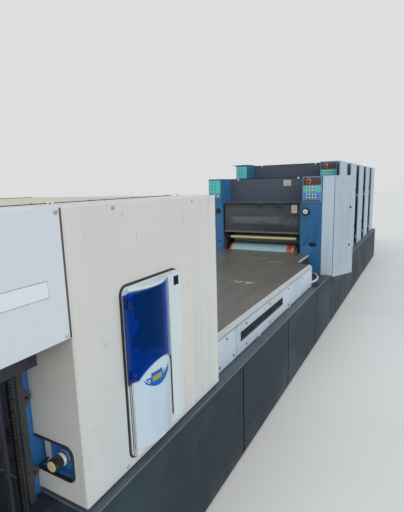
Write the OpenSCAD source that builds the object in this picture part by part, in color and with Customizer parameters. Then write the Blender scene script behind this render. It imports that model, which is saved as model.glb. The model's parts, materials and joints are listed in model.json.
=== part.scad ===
// Sheet-fed offset printing press: delivery at -X, walk-on table, coater, five printing units
// and feeder at +X. The operator stands on the -Y side. The origin is on the floor under mid-length.

/* [Length] */
// Length of the delivery in front of the big side cover
deliv_len = 1016; // [960:1:1080]
// Length of the big side cover
cover_len = 945; // [900:1:1000]
// Length of the walk-on table between the delivery and the coater
table_len = 2727; // [2600:1:2850]
// Spacing of the units along the press
unit_pitch = 855; // [830:1:900]
// Length of the feeder past the last unit spacing
feed_len = 1982; // [1930:1:2100]

/* [Base] */
// Width over the base side panels
base_w = 1660; // [1640:1:1700]
// Height of the platform above the floor
base_h = 610; // [590:1:620]
// Thickness of a folded side panel of the base
panel_t = 25; // [18:1:32]
// Thickness of the platform plate
plate_t = 8; // [6:1:12]
// Gap between neighbouring sheet panels
seam = 6; // [4:1:10]
// Height of the light trim along the platform edge
trim_h = 14; // [8:1:20]

/* [Delivery] */
// Width over the delivery side frames
frame_w = 1154; // [1140:1:1170]
// Thickness of a delivery side frame
frame_t = 47; // [40:1:55]
// Width over the delivery side covers
cover_w = 1620; // [1600:1:1630]
// Height of the delivery top covers
cover_top = 1601; // [1580:1:1640]
// Gap between the platform and the big side cover
cover_gap = 15; // [10:1:25]
// Thickness of the cover sheets
sheet_t = 6; // [4:1:8]
// Height of the lower edge of the side sign panel
sign_z = 1215; // [1190:1:1240]
// Height of the floor rails under the delivery
rail_h = 120; // [100:1:140]

/* [Hoist] */
// Distance of the rear hoist chain in front of the big side cover
chain_back = 150; // [144:1:160]
// Distance between the front and the rear hoist chain
chain_span = 640; // [600:1:660]
// Chain pitch
chain_p = 38.1; // [37.5:0.1:38.5]
// Links along one straight run of a chain
chain_n = 28; // [27:1:29]
// Height of the lower chain wheels
wheel_z = 245; // [235:1:260]
// Rest height of the pile board
pile_z = 420; // [410:1:460]
// Thickness of the pile board
pile_t = 40; // [30:1:50]
// Width of a hoist beam under the pile board
beam_w = 50; // [40:1:60]

/* [Window unit] */
// Distance from the big cover's front edge to its window opening
win_x = 217; // [205:1:235]
// Width of the window opening
win_w = 357; // [345:1:370]
// Height of the lower edge of the window opening
win_z0 = 652; // [645:1:665]
// Height of the upper edge of the window opening
win_z1 = 1317; // [1290:1:1340]
// Corner radius of the window opening
win_r = 34; // [25:1:45]
// Distance that the window unit stands proud of the cover
win_proud = 14; // [12:1:20]
// Width of the hinge strip beside the blue cover
strip_w = 20; // [18:1:26]
// Width of the blue cover between its hinge strip and its free edge
shade_w = 240; // [230:1:250]
// Crown of the blue cover
shade_rise = 38; // [28:1:44]
// Thickness of the blue cover
shade_t = 4; // [3:1:6]
// Height of the blue cover's lower corners
shade_z0 = 958; // [940:1:975]
// Width of the arch in the blue cover's lower edge
arch_w = 216; // [200:1:222]
// Height of the arch in the blue cover's lower edge
arch_rise = 55; // [45:1:60]
// Running gap round the blue cover
shade_gap = 6; // [5:0.5:7]
// Depth of the housing behind the blue cover
housing_d = 110; // [90:1:130]

/* [Knob] */
// Distance of the setting knob from the centreline
knob_y = 700; // [690:1:715]
// Height of the setting knob
knob_z = 768; // [760:1:778]
// Diameter of the knurled knob
knob_d = 44; // [38:1:50]
// Length of the knurled knob
knob_len = 46; // [40:1:52]

/* [Table] */
// Width over the table's side panels
table_w = 1536; // [1520:1:1560]
// Height of the walk-on surface
table_h = 835; // [825:1:850]
// Width of the light sloping border of the table
border_w = 30; // [24:1:36]
// Drop of the sloping border
border_drop = 20; // [14:1:24]
// Length of the full-width part of the table
table_full = 2174; // [2100:1:2230]
// Half width of the table's narrow end next to the coater
neck_y = 600; // [585:1:620]
// Gap between the table and the coater
table_gap = 8; // [6:1:14]
// Length of the slot in the table's side panel
slot_len = 820; // [760:1:860]
// Height of the slot in the table's side panel
slot_h = 42; // [36:1:50]

/* [Units] */
// Length of a unit along the press
unit_len = 560; // [545:1:580]
// Height of the coater
coater_top = 1714; // [1690:1:1730]
// Height of the printing units
unit_top = 1906; // [1880:1:1930]
// Height of the joint between the front columns and the switch boxes
column_top = 1416; // [1400:1:1425]
// Half width of the opening between the front columns
column_in = 490; // [486:1:494]
// Half width over the front columns
column_out = 733; // [725:1:738]
// Thickness of a unit side frame
side_t = 60; // [54:1:66]
// Depth of the recess above the guard
hood_recess = 285; // [275:1:295]
// Width of an operator-side switch box
box_w = 222; // [216:1:226]
// Width of a drive-side switch box
box_drive_w = 171; // [160:1:180]

/* [Cylinders] */
// Diameter of the blanket cylinder
blanket_d = 270; // [262:1:274]
// Distance of the blanket cylinder's axis behind the coater front
blanket_x = 190; // [186:1:196]
// Height of the blanket cylinder's axis above the platform
blanket_up = 160; // [156:1:166]
// Diameter of the cylinder journals
journal_d = 80; // [70:1:90]
// Running clearance round a journal or pin
fit = 0.1; // [0.05:0.01:0.2]
// Diameter of the form roller
form_d = 130; // [122:1:134]
// Diameter of the metering roller
meter_d = 110; // [100:1:114]

/* [Guard] */
// Height of the guard above its lower edge
guard_h = 335; // [325:1:345]
// Thickness of the guard frame
guard_t = 12; // [10:1:14]

/* [Doors] */
// Width of a side door
door_w = 500; // [480:1:520]
// Width of the coater side door
coater_door_w = 360; // [340:1:380]
// Thickness of a door
door_t = 14; // [12:1:16]
// Half width over the closed doors of the printing units
door_y = 778; // [774:1:784]
// Distance that a door reaches in front of its unit
door_lead = 100; // [90:1:110]
// Gap between the platform and a door
door_gap = 10; // [8:1:14]
// Angle at which the coater side door stands ajar
door_ajar = 26; // [18:1:30]
// Distance that the coater side door hangs below the platform
coater_drop = 25; // [15:1:30]
// Diameter of a door hinge pin
pin_d = 12; // [10:1:13]

/* [Feeder] */
// Half width over the feeder side frames
feeder_y = 530; // [510:1:540]
// Height of the feeder side frames
feeder_h = 1330; // [1280:1:1380]
// Height of the feeder's pile board
feeder_pile_z = 420; // [380:1:460]

/* [Hidden] */
$fn = 48;
far = 4000;
unit_n = 5;
x_start = -(deliv_len + cover_len + table_len + (unit_n + 1) * unit_pitch + feed_len) / 2;
x_cov = x_start + deliv_len;
x_tab = x_cov + cover_len;
x_coat = x_tab + table_len;
x_last = x_coat + unit_n * unit_pitch + unit_len;
x_end = -x_start;
half_base = base_w / 2;
half_frame = frame_w / 2;
half_cover = cover_w / 2;
half_table = table_w / 2;
frame_top = cover_top - sheet_t;
top_seam = half_frame - frame_t / 2;
trim_t = 4;
// Hoist: chain positions along the press, wheel size and heights
chain_x = [x_cov - chain_back - chain_span, x_cov - chain_back];
wheel_t = 10;
wheel_r = chain_p / 2 / sin(180 / wheel_t);
chain_y = half_frame + 30;
wheel_z1 = wheel_z + (chain_n - 1) * chain_p;
// Window unit: front plane, crowned cover and its hinge
win_y = half_cover + win_proud;
edge_t = 6;
win_x0 = x_cov + win_x;
win_x1 = win_x0 + win_w;
shade_x0 = win_x0 + edge_t + 0.3 + strip_w;
shade_x1 = shade_x0 + shade_w;
shade_z1 = win_z1 - 30;
shade_pin_x = shade_x0 - 6;
shade_pin_y = win_y + 9;
shade_knuckles = [shade_z0 + 24, shade_z1 - 40];
arch_r = (arch_w * arch_w / 4 + arch_rise * arch_rise) / (2 * arch_rise);
shade_r = (shade_w * shade_w / 4 + shade_rise * shade_rise) / (2 * shade_rise);
shade_yc = win_y - (shade_r - shade_rise);
// Unit guard, rollers and doors
guard_x = x_coat + 40;
guard_z = column_top - 24;
nip = 0.3;
blanket_z = base_h + blanket_up;
form_x = x_coat + blanket_x + 62;
form_z = blanket_z + sqrt(pow((blanket_d + form_d) / 2 + nip, 2) - 62 * 62);
meter_x = form_x - 20;
meter_z = form_z + sqrt(pow((form_d + meter_d) / 2 + nip, 2) - 20 * 20);
arm = 12;
hinge_y = door_y - door_t - arm;
box_y = 505;
box_drive_y = 511;
coater_hinge_y = half_base + trim_t + 5 - arm;
coater_hinge_x = x_coat + 44;
hinge_in = 8;

feeder_beams = [x_last + 730, x_end - 290];

// Box between two corners
module block(x0, x1, y0, y1, z0, z1) {
    translate([x0, y0, z0]) cube([x1 - x0, y1 - y0, z1 - z0]);
}

// The same piece on the operator side and on the drive side
module sides() {
    children();
    mirror([0, 1, 0]) children();
}

// Outline in X and Z, extruded from y0 to y1
module slab(y0, y1) {
    translate([0, y1, 0]) rotate([90, 0, 0]) linear_extrude(height = y1 - y0) children();
}

module rod_y(x, z, y0, y1, d) {
    translate([x, y0, z]) rotate([-90, 0, 0]) cylinder(d = d, h = y1 - y0);
}

module rod_x(y, z, x0, x1, d) {
    translate([x0, y, z]) rotate([0, 90, 0]) cylinder(d = d, h = x1 - x0);
}

module rod_z(x, y, z0, z1, d) {
    translate([x, y, z0]) cylinder(d = d, h = z1 - z0);
}

// Rectangle with round corners
module round_rect(x0, x1, z0, z1, r) {
    translate([x0 + r, z0]) square([x1 - x0 - 2 * r, z1 - z0]);
    translate([x0, z0 + r]) square([x1 - x0, z1 - z0 - 2 * r]);
    for (x = [x0 + r, x1 - r]) for (z = [z0 + r, z1 - r]) translate([x, z]) circle(r);
}

module base_frame() color("#2b3036") {
    block(x_cov + 14, x_last, -half_base + panel_t, half_base - panel_t, 0, base_h - plate_t);
    sides() block(x_start + 60, x_cov + 2, -half_frame, -half_frame + 150, 0, rail_h);
    block(x_start + 60, x_start + 180, -half_frame + 150, half_frame - 150, 0, rail_h);
}

// Panel joints of the base, counted from the big side cover
first_panels = [1228, 906, 946, 774];
panel_sum = [for (i = 0, s = 0; i <= 4; s = s + (i < 4 ? first_panels[i] : 0), i = i + 1) s];
panel_rest = (x_last - x_cov - panel_sum[4]) / 5;
joints_x = concat([for (s = panel_sum) x_cov + s], [for (i = [1:5]) x_cov + panel_sum[4] + i * panel_rest]);

module base_panels() color("#434c56") {
    sides() for (i = [0:8]) difference() {
        block(joints_x[i] + (i > 0 ? seam / 2 : 0), joints_x[i + 1] - (i < 8 ? seam / 2 : 0),
            -half_base, -half_base + panel_t, 18, base_h - plate_t);
        block(joints_x[i] + 60, joints_x[i + 1] - 60, -half_base + 3, -half_base + panel_t + 1, 60, base_h - 60);
    }
    block(x_cov + 2, x_cov + 14, -half_base + panel_t + 2, half_base - panel_t - 2, 18, base_h - plate_t);
    block(x_last, x_last + 12, -half_base + panel_t + 2, half_base - panel_t - 2, 18, base_h - plate_t);
}

module platform() color("#555d64") {
    block(x_cov, x_last, -half_base, half_base, base_h - plate_t, base_h);
}

module platform_trim() color("#aab0b3") {
    sides() block(x_cov, x_last, -half_base - trim_t, -half_base, base_h - trim_h, base_h);
}

// Delivery side frame: a plate with the pile opening, stiffening windows and wheel bearings
module frame_plate() {
    slab(-half_frame, -half_frame + frame_t) difference() {
        translate([x_start + 100, rail_h]) square([x_tab - 12 - x_start - 100, frame_top - rail_h]);
        round_rect(x_start + 230, x_cov - 52, wheel_z + 45, sign_z - 60, 30);
        round_rect(x_cov + 160, x_cov + 420, base_h + 90, sign_z - 60, 40);
        round_rect(x_cov + 520, x_tab - 110, base_h + 90, sign_z - 60, 40);
        translate([x_cov, -1]) square([far, base_h + 1]);
        for (x = chain_x) for (z = [wheel_z, wheel_z1]) translate([x, z]) circle(15 + fit);
    }
}

module delivery_frames() color("#2f6cb0") {
    sides() frame_plate();
}

module delivery_ties() color("#3a4148") {
    in = half_frame - frame_t;
    for (x = [x_cov + 90, x_start + 165]) rod_y(x, sign_z + 225, -in, in, 70);
    rod_y(x_cov + 470, cover_top - 101, -in, in, 60);
    block(x_tab - 90, x_tab - 30, -in, in, cover_top - 221, cover_top - 121);
    block(x_cov + 40, x_cov + 100, -in, in, base_h, base_h + 80);
}

// Machined guide bar with its bolting ears, on the outer face of the frame
module pile_guides() color("#6d675f") {
    sides() slab(-half_frame - 22, -half_frame) difference() {
        union() {
            translate([x_cov - 68, wheel_z + 20]) square([36, sign_z - 110 - wheel_z]);
            for (z = ear_z) translate([x_cov - 50, z]) ear();
        }
        for (z = ear_z) translate([x_cov - 26, z + 30]) circle(7);
    }
}

ear_z = [wheel_z + 40, wheel_z + 430, 950];

module ear() {
    square([24, 60]);
    translate([24, 30]) circle(18);
}

// Upright channel that the hoist chain runs beside
module chain_channels() color("#1b1d20") {
    sides() for (i = [0, 1]) slab(-half_frame - 20, -half_frame) {
        translate([chain_x[i] + 31, wheel_z + 24]) square([9, wheel_z1 - wheel_z - 60]);
        translate([chain_x[i] - 40, wheel_z + 24]) square([9, wheel_z1 - wheel_z - 60]);
    }
}

// Waisted side plates of n links in one outline, upwards from the origin
module link_strip(n) {
    w = chain_p / 2;
    polygon(concat([for (i = [0:n - 1]) for (c = [[9, -7], [9, 7], [6, w]]) [c[0], i * chain_p + c[1]]],
        [for (i = [n - 1:-1:0]) for (c = [[-6, w], [-9, 7], [-9, -7]]) [c[0], i * chain_p + c[1]]]));
}

// Straight run of a roller chain: side plates and a roller at each pin
module chain_run(n) {
    for (y = [-11, 8]) slab(y, y + 3) link_strip(n);
    for (i = [0:n - 1]) rod_y(0, i * chain_p, -8 + 0.3, 8 - 0.3, 17);
}

// Half turn of the chain round a wheel, above the origin
module chain_turn() {
    for (y = [-11, 8]) slab(y, y + 3) difference() {
        circle(wheel_r + 9);
        circle(wheel_r - 9);
        translate([-far / 2, -far]) square([far, far]);
    }
    for (i = [1:wheel_t / 2 - 1]) rotate([0, -i * 360 / wheel_t, 0]) rod_y(wheel_r, 0, -8 + 0.3, 8 - 0.3, 17);
}

module hoist_chains() color("#2a2724") {
    sides() for (x = chain_x) translate([x, -chain_y, 0]) {
        for (s = [-1, 1]) translate([s * wheel_r, 0, wheel_z]) chain_run(chain_n);
        translate([0, 0, wheel_z1]) chain_turn();
        translate([0, 0, wheel_z]) mirror([0, 0, 1]) chain_turn();
    }
}

// Chain wheels on their short shafts
module wheel() {
    slab(-3, 3) difference() {
        circle(wheel_r + 2);
        for (i = [0:wheel_t - 1]) rotate(i * 360 / wheel_t) translate([wheel_r, 0]) circle(8.5 + 0.3);
    }
}

module hoist_wheels() color("#5b5d5f") {
    sides() for (x = chain_x) for (z = [wheel_z, wheel_z1]) {
        translate([x, -chain_y, z]) wheel();
        rod_y(x, z, -chain_y + 3, -half_frame + frame_t - 2, 30);
        rod_y(x, z, -chain_y - 14, -chain_y - 3, 40);
    }
}

// Pile board on two beams that the chains carry at their ends
module pile_board() color("#3b3f42") {
    reach = wheel_r + 9 + 0.3;
    x0 = chain_x[0] + reach;
    x1 = chain_x[1] - reach;
    block(x0, x1, -half_frame + frame_t + 30, half_frame - frame_t - 30, pile_z, pile_z + pile_t);
    for (x = [x0, x1 - beam_w]) block(x, x + beam_w, -chain_y - 11, chain_y + 11, pile_z - 60, pile_z);
}

module top_covers() color("#c9c8c0") {
    block(x_start, x_tab, -top_seam + seam / 2, top_seam - seam / 2, frame_top, cover_top);
}

// Side sheet with the flat top flange, left plain
module sign_panels() color("#ccd4dc") {
    sides() {
        block(x_start, x_cov - 4, -half_cover, -half_cover + sheet_t, sign_z, cover_top);
        block(x_start, x_cov - 4, -half_cover, -top_seam - seam / 2, frame_top, cover_top);
    }
}

// Dark rails under the side sheets with their arms, and the brackets at the base
module side_rails() color("#1f2226") {
    sides() {
        block(x_start + 110, x_cov - 45, -half_frame - 123, -half_frame - 63, sign_z - 91, sign_z - 46);
        for (x = [x_start + 112, (chain_x[0] + chain_x[1]) / 2 - 20, x_cov - 72])
            block(x, x + 26, -half_frame - 63, -half_frame, sign_z - 88, sign_z - 50);
        block(x_cov - 66, x_cov - 2, -half_frame - 90, -half_frame - 22.3, 570, 600);
        block(x_cov - 30, x_cov - 2, -half_frame - 22.3, -half_frame, 570, 600);
    }
}

module end_cover() color("#c9c8c0") {
    block(x_start, x_start + sheet_t, -half_cover + sheet_t, half_cover - sheet_t, sign_z, frame_top);
    block(x_start + sheet_t, x_start + 100, -half_frame, half_frame, sign_z, sign_z + 40);
}

// Folded sheet cover round the side of the delivery, open towards the frame
module side_shell() {
    z0 = base_h + cover_gap;
    difference() {
        block(x_cov, x_tab, -half_cover, -half_frame - 0.3, z0, cover_top);
        block(x_cov + sheet_t, x_tab - sheet_t, -half_cover + sheet_t, -half_frame + 1, z0 + sheet_t, frame_top);
    }
    block(x_cov, x_tab, -half_frame - 1, -top_seam - seam / 2, frame_top, cover_top);
    for (x = [x_cov + 140, x_tab - 180]) block(x, x + 40, -half_frame - 60, -half_frame - 10, base_h, z0);
}

module cutout(grow) {
    translate([x_cov - 1, 0, 0]) rotate([90, 0, 90]) linear_extrude(height = sheet_t + 2)
        round_rect(-half_cover + 45 - grow, -half_frame + 60, 700 - grow, 830 + grow, 30 + grow);
}

module dryer_cover() color("#c8c8c2") difference() {
    side_shell();
    cutout(0);
    slab(-half_cover - 1, -half_cover + sheet_t + 1) round_rect(win_x0, win_x1, win_z0, win_z1, win_r);
}

module drive_cover() color("#c8c8c2") mirror([0, 1, 0]) side_shell();

module cutout_edging() color("#222427") {
    intersection() {
        translate([x_cov - 4, 0, 0]) rotate([90, 0, 90]) linear_extrude(height = sheet_t + 8) difference() {
            round_rect(-half_cover + 45, -half_frame + 60, 700, 830, 30);
            round_rect(-half_cover + 50, -half_frame + 60, 705, 825, 25);
        }
        block(x_cov - 10, x_cov + 20, -half_cover, -half_frame - 4, 600, 900);
    }
}

module knob_plate() color("#2458a0") {
    difference() {
        block(x_cov + 34, x_cov + 44, -half_cover + 12, -half_frame - 38, 690, 842);
        rod_x(-knob_y, knob_z, x_cov + 30, x_cov + 50, 12 + 2 * fit);
    }
    block(x_cov + 44, x_cov + 60, -half_cover + 12, -half_frame, 800, 842);
}

// Knurled knob with its silver collar, turning on the plate
module setting_knob() {
    x1 = x_cov + 34 - 0.3;
    color("#b9bbbd") rod_x(-knob_y, knob_z, x1 - 12, x1, knob_d + 8);
    color("#202224") difference() {
        rod_x(-knob_y, knob_z, x1 - 12 - knob_len, x1 - 12, knob_d);
        for (i = [0:15]) translate([x1 - 13 - knob_len + 6, -knob_y, knob_z]) rotate([i * 22.5, 0, 0])
            translate([0, knob_d / 2 + 1, 0]) rotate([0, 90, 0]) cylinder(d = 5, h = knob_len - 8);
    }
    color("#c9b98f") rod_x(-knob_y, knob_z, x1 - 15 - knob_len, x1 - 12 - knob_len, knob_d - 8);
    color("#b9bbbd") rod_x(-knob_y, knob_z, x1, x1 + 30, 12);
}

module window_edging() color("#26282b") {
    slab(-half_cover - 5, -half_cover + sheet_t + 3) difference() {
        round_rect(win_x0, win_x1, win_z0, win_z1, win_r);
        round_rect(win_x0 + edge_t, win_x1 - edge_t, win_z0 + edge_t, win_z1 - edge_t, win_r - edge_t);
    }
}

// Crowned outline in plan up to a radius, clipped to the blue cover's width
module crown(r) {
    intersection() {
        translate([(shade_x0 + shade_x1) / 2, -shade_yc]) circle(r, $fn = 96);
        translate([shade_x0, -win_y - shade_rise - 10]) square([shade_w, shade_rise + 10]);
    }
}

// Arched lower edge of the blue cover, seen from the side
module arch(gap) {
    translate([(shade_x0 + shade_x1) / 2 + 8, shade_z0 + arch_rise - arch_r]) circle(arch_r - gap, $fn = 96);
}

// White moulded housing behind and round the blue cover, with its pocket and hinge pins
module window_frame() color("#d9dcda") {
    in = edge_t + 0.3;
    difference() {
        slab(-win_y, -win_y + housing_d)
            round_rect(win_x0 + in, win_x1 - in, win_z0 + in, win_z1 - in, win_r - in);
        block(win_x0, shade_x0 + 2, -win_y - 1, -win_y + shade_gap, win_z0, win_z1);
        block(win_x0, shade_x1 + shade_gap, -win_y - 1, -win_y + shade_gap, shade_z0 - shade_gap, shade_z1 + shade_gap);
        slab(-win_y - 1, -win_y + housing_d - 8)
            round_rect(shade_x0 + 14, shade_x1 - 14, shade_z0 + 20, shade_z1 - 16, 12);
    }
    block(shade_x1 + shade_gap, win_x1 + 3, -win_y - 4, -win_y, win_z0 + in + 20, win_z1 - in - 10);
    linear_extrude_z(shade_z1 + shade_gap, win_z1 - in - 8) crown(shade_r - 2);
    for (z = shade_knuckles) {
        rod_z(shade_pin_x, -shade_pin_y, z - 10, z - 0.3, 10);
        block(shade_pin_x - 3, shade_pin_x + 3, -shade_pin_y, -win_y + shade_gap, z - 10, z - 0.3);
        rod_z(shade_pin_x, -shade_pin_y, z - 0.3, z + 20, 6);
    }
}

module linear_extrude_z(z0, z1) translate([0, 0, z0]) linear_extrude(height = z1 - z0) children();

// Hinged blue cover: a crowned shell with an arched lower edge, a hinge strip and knuckles
module blue_cover() color("#0f3fa0", 0.8) {
    difference() {
        union() {
            linear_extrude_z(shade_z0, shade_z1) difference() {
                crown(shade_r);
                translate([(shade_x0 + shade_x1) / 2, -shade_yc]) circle(shade_r - shade_t, $fn = 96);
            }
            block(shade_pin_x, shade_x0 + 6, -win_y - 4, -win_y, shade_z0, shade_z1);
        }
        slab(-win_y - 100, -win_y + 100) arch(0);
        for (z = shade_knuckles) block(shade_pin_x - 10, shade_x0 + 12, -win_y - 40, -win_y + 1, z - 16, z);
    }
    for (z = shade_knuckles) difference() {
        rod_z(shade_pin_x, -shade_pin_y, z, z + 24, 14);
        rod_z(shade_pin_x, -shade_pin_y, z - 1, z + 25, 6 + 2 * fit);
    }
}

// Crowned lower panel with the arched top that carries the keys and the display
module control_panel() color("#cfd6da") {
    linear_extrude_z(win_z0 + 30, shade_z0 - shade_gap) crown(shade_r - 2);
    intersection() {
        linear_extrude_z(shade_z0 - shade_gap, shade_z0 + arch_rise) crown(shade_r - 2);
        slab(-win_y - 100, -win_y + 1) arch(shade_gap);
    }
}

module table_body() color("#3a3f43") {
    block(x_tab + 2, x_tab + table_full - 4, -half_table + 12, half_table - 12, base_h, table_h - border_drop);
    block(x_tab + table_full - 4, x_coat - table_gap, -neck_y + 12, neck_y - 12, base_h, table_h - border_drop);
}

// Walk-on cover: full width beside the delivery and a narrow end at the coater
module table_top() color("#5a5650") {
    block(x_tab + 0.3, x_tab + table_full - 4, -half_table + border_w, half_table - border_w,
        table_h - border_drop, table_h);
    block(x_tab + table_full - 4, x_coat - table_gap, -neck_y, neck_y, table_h - border_drop, table_h);
}

module table_sides() color("#dfe1e0") {
    z1 = table_h - border_drop;
    sides() difference() {
        for (s = [[x_tab + 0.3, x_tab + 320], [x_tab + 326, x_tab + table_full]])
            block(s[0], s[1], -half_table, -half_table + 12, base_h + 9, z1);
        block(x_tab + 394, x_tab + 394 + slot_len, -half_table - 1, -half_table + 10, 705, 705 + slot_h);
    }
    sides() for (x = [x_tab + 40, x_tab + 700, x_tab + 1400, x_tab + table_full - 60])
        block(x, x + 40, -half_table, -half_table + 12, base_h, base_h + 9);
}

// Light sloping border of the table and the edge bars of its narrow end
module table_trim() color("#e2e2dd") {
    z1 = table_h - border_drop;
    sides() translate([x_tab + 0.3, 0, 0]) rotate([90, 0, 90]) linear_extrude(height = table_full - 0.3)
        polygon([[-half_table, z1], [-half_table + border_w, z1], [-half_table + border_w, table_h], [-half_table, z1 + 3]]);
    sides() block(x_tab + table_full + 110, x_coat - table_gap - 50, -neck_y - 8, -neck_y, table_h - 16, table_h + 4);
}

// Drain hose that lies on the platform in one arc, from the coater to the table's end
module drain_hose() color("#dcdcd6") {
    r = 461;
    x = x_coat - 308;
    a0 = acos((x_tab + table_full - 4 + 0.3 - x) / (r + 12));
    a1 = acos((x_coat - 0.3 - x) / (r + 12));
    translate([x, -neck_y + 303, base_h + 12.3]) rotate(-a0) rotate_extrude(angle = a0 - a1)
        translate([r, 0]) circle(12, $fn = 24);
}

function unit_x(i) = x_coat + i * unit_pitch;

// Side frame plates of all units, with the cylinder bearings in the coater's
module unit_frames() color("#33414f") {
    sides() for (i = [0:unit_n]) difference() {
        block(unit_x(i) + 18, unit_x(i) + unit_len, -column_in - 10 - side_t, -column_in - 10, base_h,
            column_top);
        if (i == 0) {
            rod_y(x_coat + blanket_x, blanket_z, -far, 0, journal_d + 2 * fit);
            rod_y(form_x, form_z, -far, 0, 40 + 2 * fit);
            rod_y(meter_x, meter_z, -far, 0, 40 + 2 * fit);
            rod_y(guard_x, guard_z, -far, 0, pin_d + 2 * fit);
        }
    }
}

// Blue sheet columns beside the opening, with the gauge hole, lock hole and grip
module front_columns() color("#2a6ba3") {
    sides() for (i = [0:unit_n]) difference() {
        union() {
            block(unit_x(i), unit_x(i) + 18, -column_out, -column_in, base_h, column_top);
            block(unit_x(i) + 18, unit_x(i) + unit_len - 40, -column_out, -column_out + 12, base_h, column_top);
        }
        translate([unit_x(i) - 1, 0, 0]) rotate([90, 0, 90]) linear_extrude(height = 12) {
            translate([-539, 945]) circle(9);
            round_rect(-674, -596, 930, 968, 18);
        }
    }
}

function unit_z(i) = i == 0 ? coater_top : unit_top;

module switch_boxes() color("#3a76b5") {
    for (i = [0:unit_n]) {
        block(unit_x(i), unit_x(i) + hood_recess - 1, -box_y - box_w, -box_y, column_top, unit_z(i));
        block(unit_x(i), unit_x(i) + hood_recess - 1, box_drive_y, box_drive_y + box_drive_w, column_top, unit_z(i));
        if (i > 0) block(unit_x(i) - 8, unit_x(i) + hood_recess - 1, box_drive_y - 8, box_drive_y + box_drive_w + 40,
            unit_top, unit_top + 8);
    }
}

// Key plates with the stop and start buttons on the box fronts
module keypads() color("#20262c") {
    for (i = [0:unit_n]) translate([unit_x(i), 0, unit_z(i)]) {
        block(-4, 0, -box_y - box_w + 8, -box_y - 8, -286, -8);
        rod_x(-box_y - 74, -55, -14, -4, 60);
        rod_x(-box_y - 74, -55, -38, -14, 40);
        rod_x(-box_y - 157, -52, -12, -4, 28);
        block(-4, 0, box_drive_y + 8, box_drive_y + box_drive_w - 8, -232, -14);
    }
}

// Pressure gauge beside the coater's operator side and adjusting knob beside its drive side
module column_gauges() color("#17191b") {
    rod_x(-554, column_top - 92, x_coat - 16, x_coat, 88);
    rod_x(554, column_top - 92, x_coat - 8, x_coat, 64);
    rod_x(554, column_top - 92, x_coat - 40, x_coat - 8, 46);
}

// Hood over the rollers: a ledge behind the guard and a recessed front
module hood(x0, top) {
    y = column_in + 10 + side_t;
    slab(-500, 500) polygon([[x0 + 24, column_top - 6], [x0 + 24, column_top + 6], [x0 + hood_recess, column_top + 12],
        [x0 + hood_recess + 20, column_top + 12], [x0 + hood_recess + 20, column_top - 6]]);
    slab(-y, y) polygon([[x0 + hood_recess, column_top], [x0 + hood_recess, top - 8], [x0 + hood_recess + 8, top],
        [x0 + unit_len, top], [x0 + unit_len, column_top]]);
}

module coater_hood() color("#454e59") hood(x_coat, coater_top);

module unit_hoods() color("#454e59") for (i = [1:unit_n]) hood(unit_x(i), unit_top);

// Fixed front guards and back covers of the printing units
module front_guards() color("#3a4047") {
    y = column_in + 10;
    for (i = [1:unit_n]) {
        block(unit_x(i) + 34, unit_x(i) + 46, -y, y, base_h, column_top - 6);
        block(unit_x(i) + unit_len - 12, unit_x(i) + unit_len, -y, y, base_h, column_top);
    }
    block(x_coat + unit_len - 12, x_coat + unit_len, -y, y, base_h, column_top);
}

// Hinged smoked guard with its frame, handles and hinge pins
module coater_guard() {
    y = column_in - 8;
    z0 = guard_z + 8 - guard_h;
    color("#23262a") difference() {
        union() {
            block(guard_x - guard_t / 2, guard_x + guard_t / 2, -y, y, z0, guard_z + 8);
            block(guard_x - guard_t / 2 - 8, guard_x + guard_t / 2, -y, y, z0 - 6, z0 + 10);
        }
        block(guard_x - far, guard_x + far, -y + 22, y - 22, z0 + 22, guard_z - 30);
    }
    color("#3a3a3a", 0.6) block(guard_x - 2, guard_x + 2, -y + 22, y - 22, z0 + 22, guard_z - 30);
    color("#111111") for (h = [-227, 0]) {
        for (s = [-28, 20]) block(guard_x - guard_t / 2 - 22, guard_x - guard_t / 2, h + s, h + s + 8, guard_z - 20, guard_z - 8);
        block(guard_x - guard_t / 2 - 30, guard_x - guard_t / 2 - 22, h - 28, h + 28, guard_z - 20, guard_z - 8);
    }
    color("#111111") sides() rod_y(guard_x, guard_z, -y - 30, -y, pin_d);
}

module coater_bars() color("#b8b08a") {
    y = column_in + 10;
    z = base_h + 386;
    rod_y(x_coat + 78, z, -y + 50, y - 50, 34);
    sides() rod_y(x_coat + 78, z, -y, -y + 50, 16);
}

module roller(x, z, d, body, journal) {
    rod_y(x, z, -body, body, d);
    sides() rod_y(x, z, -column_in - 10 - side_t + 4, -body, journal);
}

module blanket_cylinder() color("#9fc3c4") difference() {
    roller(x_coat + blanket_x, blanket_z, blanket_d, 440, journal_d);
    block(x_coat + blanket_x - 8, x_coat + blanket_x + 8, -410, 410, blanket_z - far, blanket_z - blanket_d / 2 + 22);
}

module form_roller() color("#3a3d40") roller(form_x, form_z, form_d, 430, 40);

module metering_roller() color("#8b9096") roller(meter_x, meter_z, meter_d, 430, 40);

// Light sheet corner beside the coater's column; the ajar door hangs on it
module coater_post() color("#a9b4bc") {
    block(x_coat, x_coat + 12, -coater_hinge_y - arm - door_t, -column_out, base_h, coater_top);
    block(x_coat + 12, x_coat + 60, -column_out - 8, -column_out, base_h, coater_top);
    for (z = [base_h + 60, coater_top - 130])
        hinge_arm(coater_hinge_x, coater_hinge_y, coater_hinge_y - column_out - 8, z);
}

// Bracket and pin that a door's knuckle turns on
module hinge_arm(x, y, reach, z) {
    rod_z(x, -y, z, z + 16, 12);
    block(x - 6, x + 6, -y, -y + reach, z, z + 16);
    rod_z(x, -y, z + 16, z + 60, pin_d);
}

// Flat door with folded edges, two knuckles and two round locks, hinged at its near edge
module door(x, y, lead, w, z0, z1, inset = 46, locks = [330, 896]) {
    x0 = x - lead;
    difference() {
        block(x0, x0 + w, -y - arm - door_t, -y - arm, z0, z1);
        block(x + 34.2, x0 + w - 30, -y - arm - door_t + 3, -y - arm + 1, z0 + 30, z1 - 30);
    }
    for (z = locks) rod_y(x0 + w - inset, z0 + z, -y - arm - door_t - 4, -y - arm - door_t, 26);
}

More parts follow.
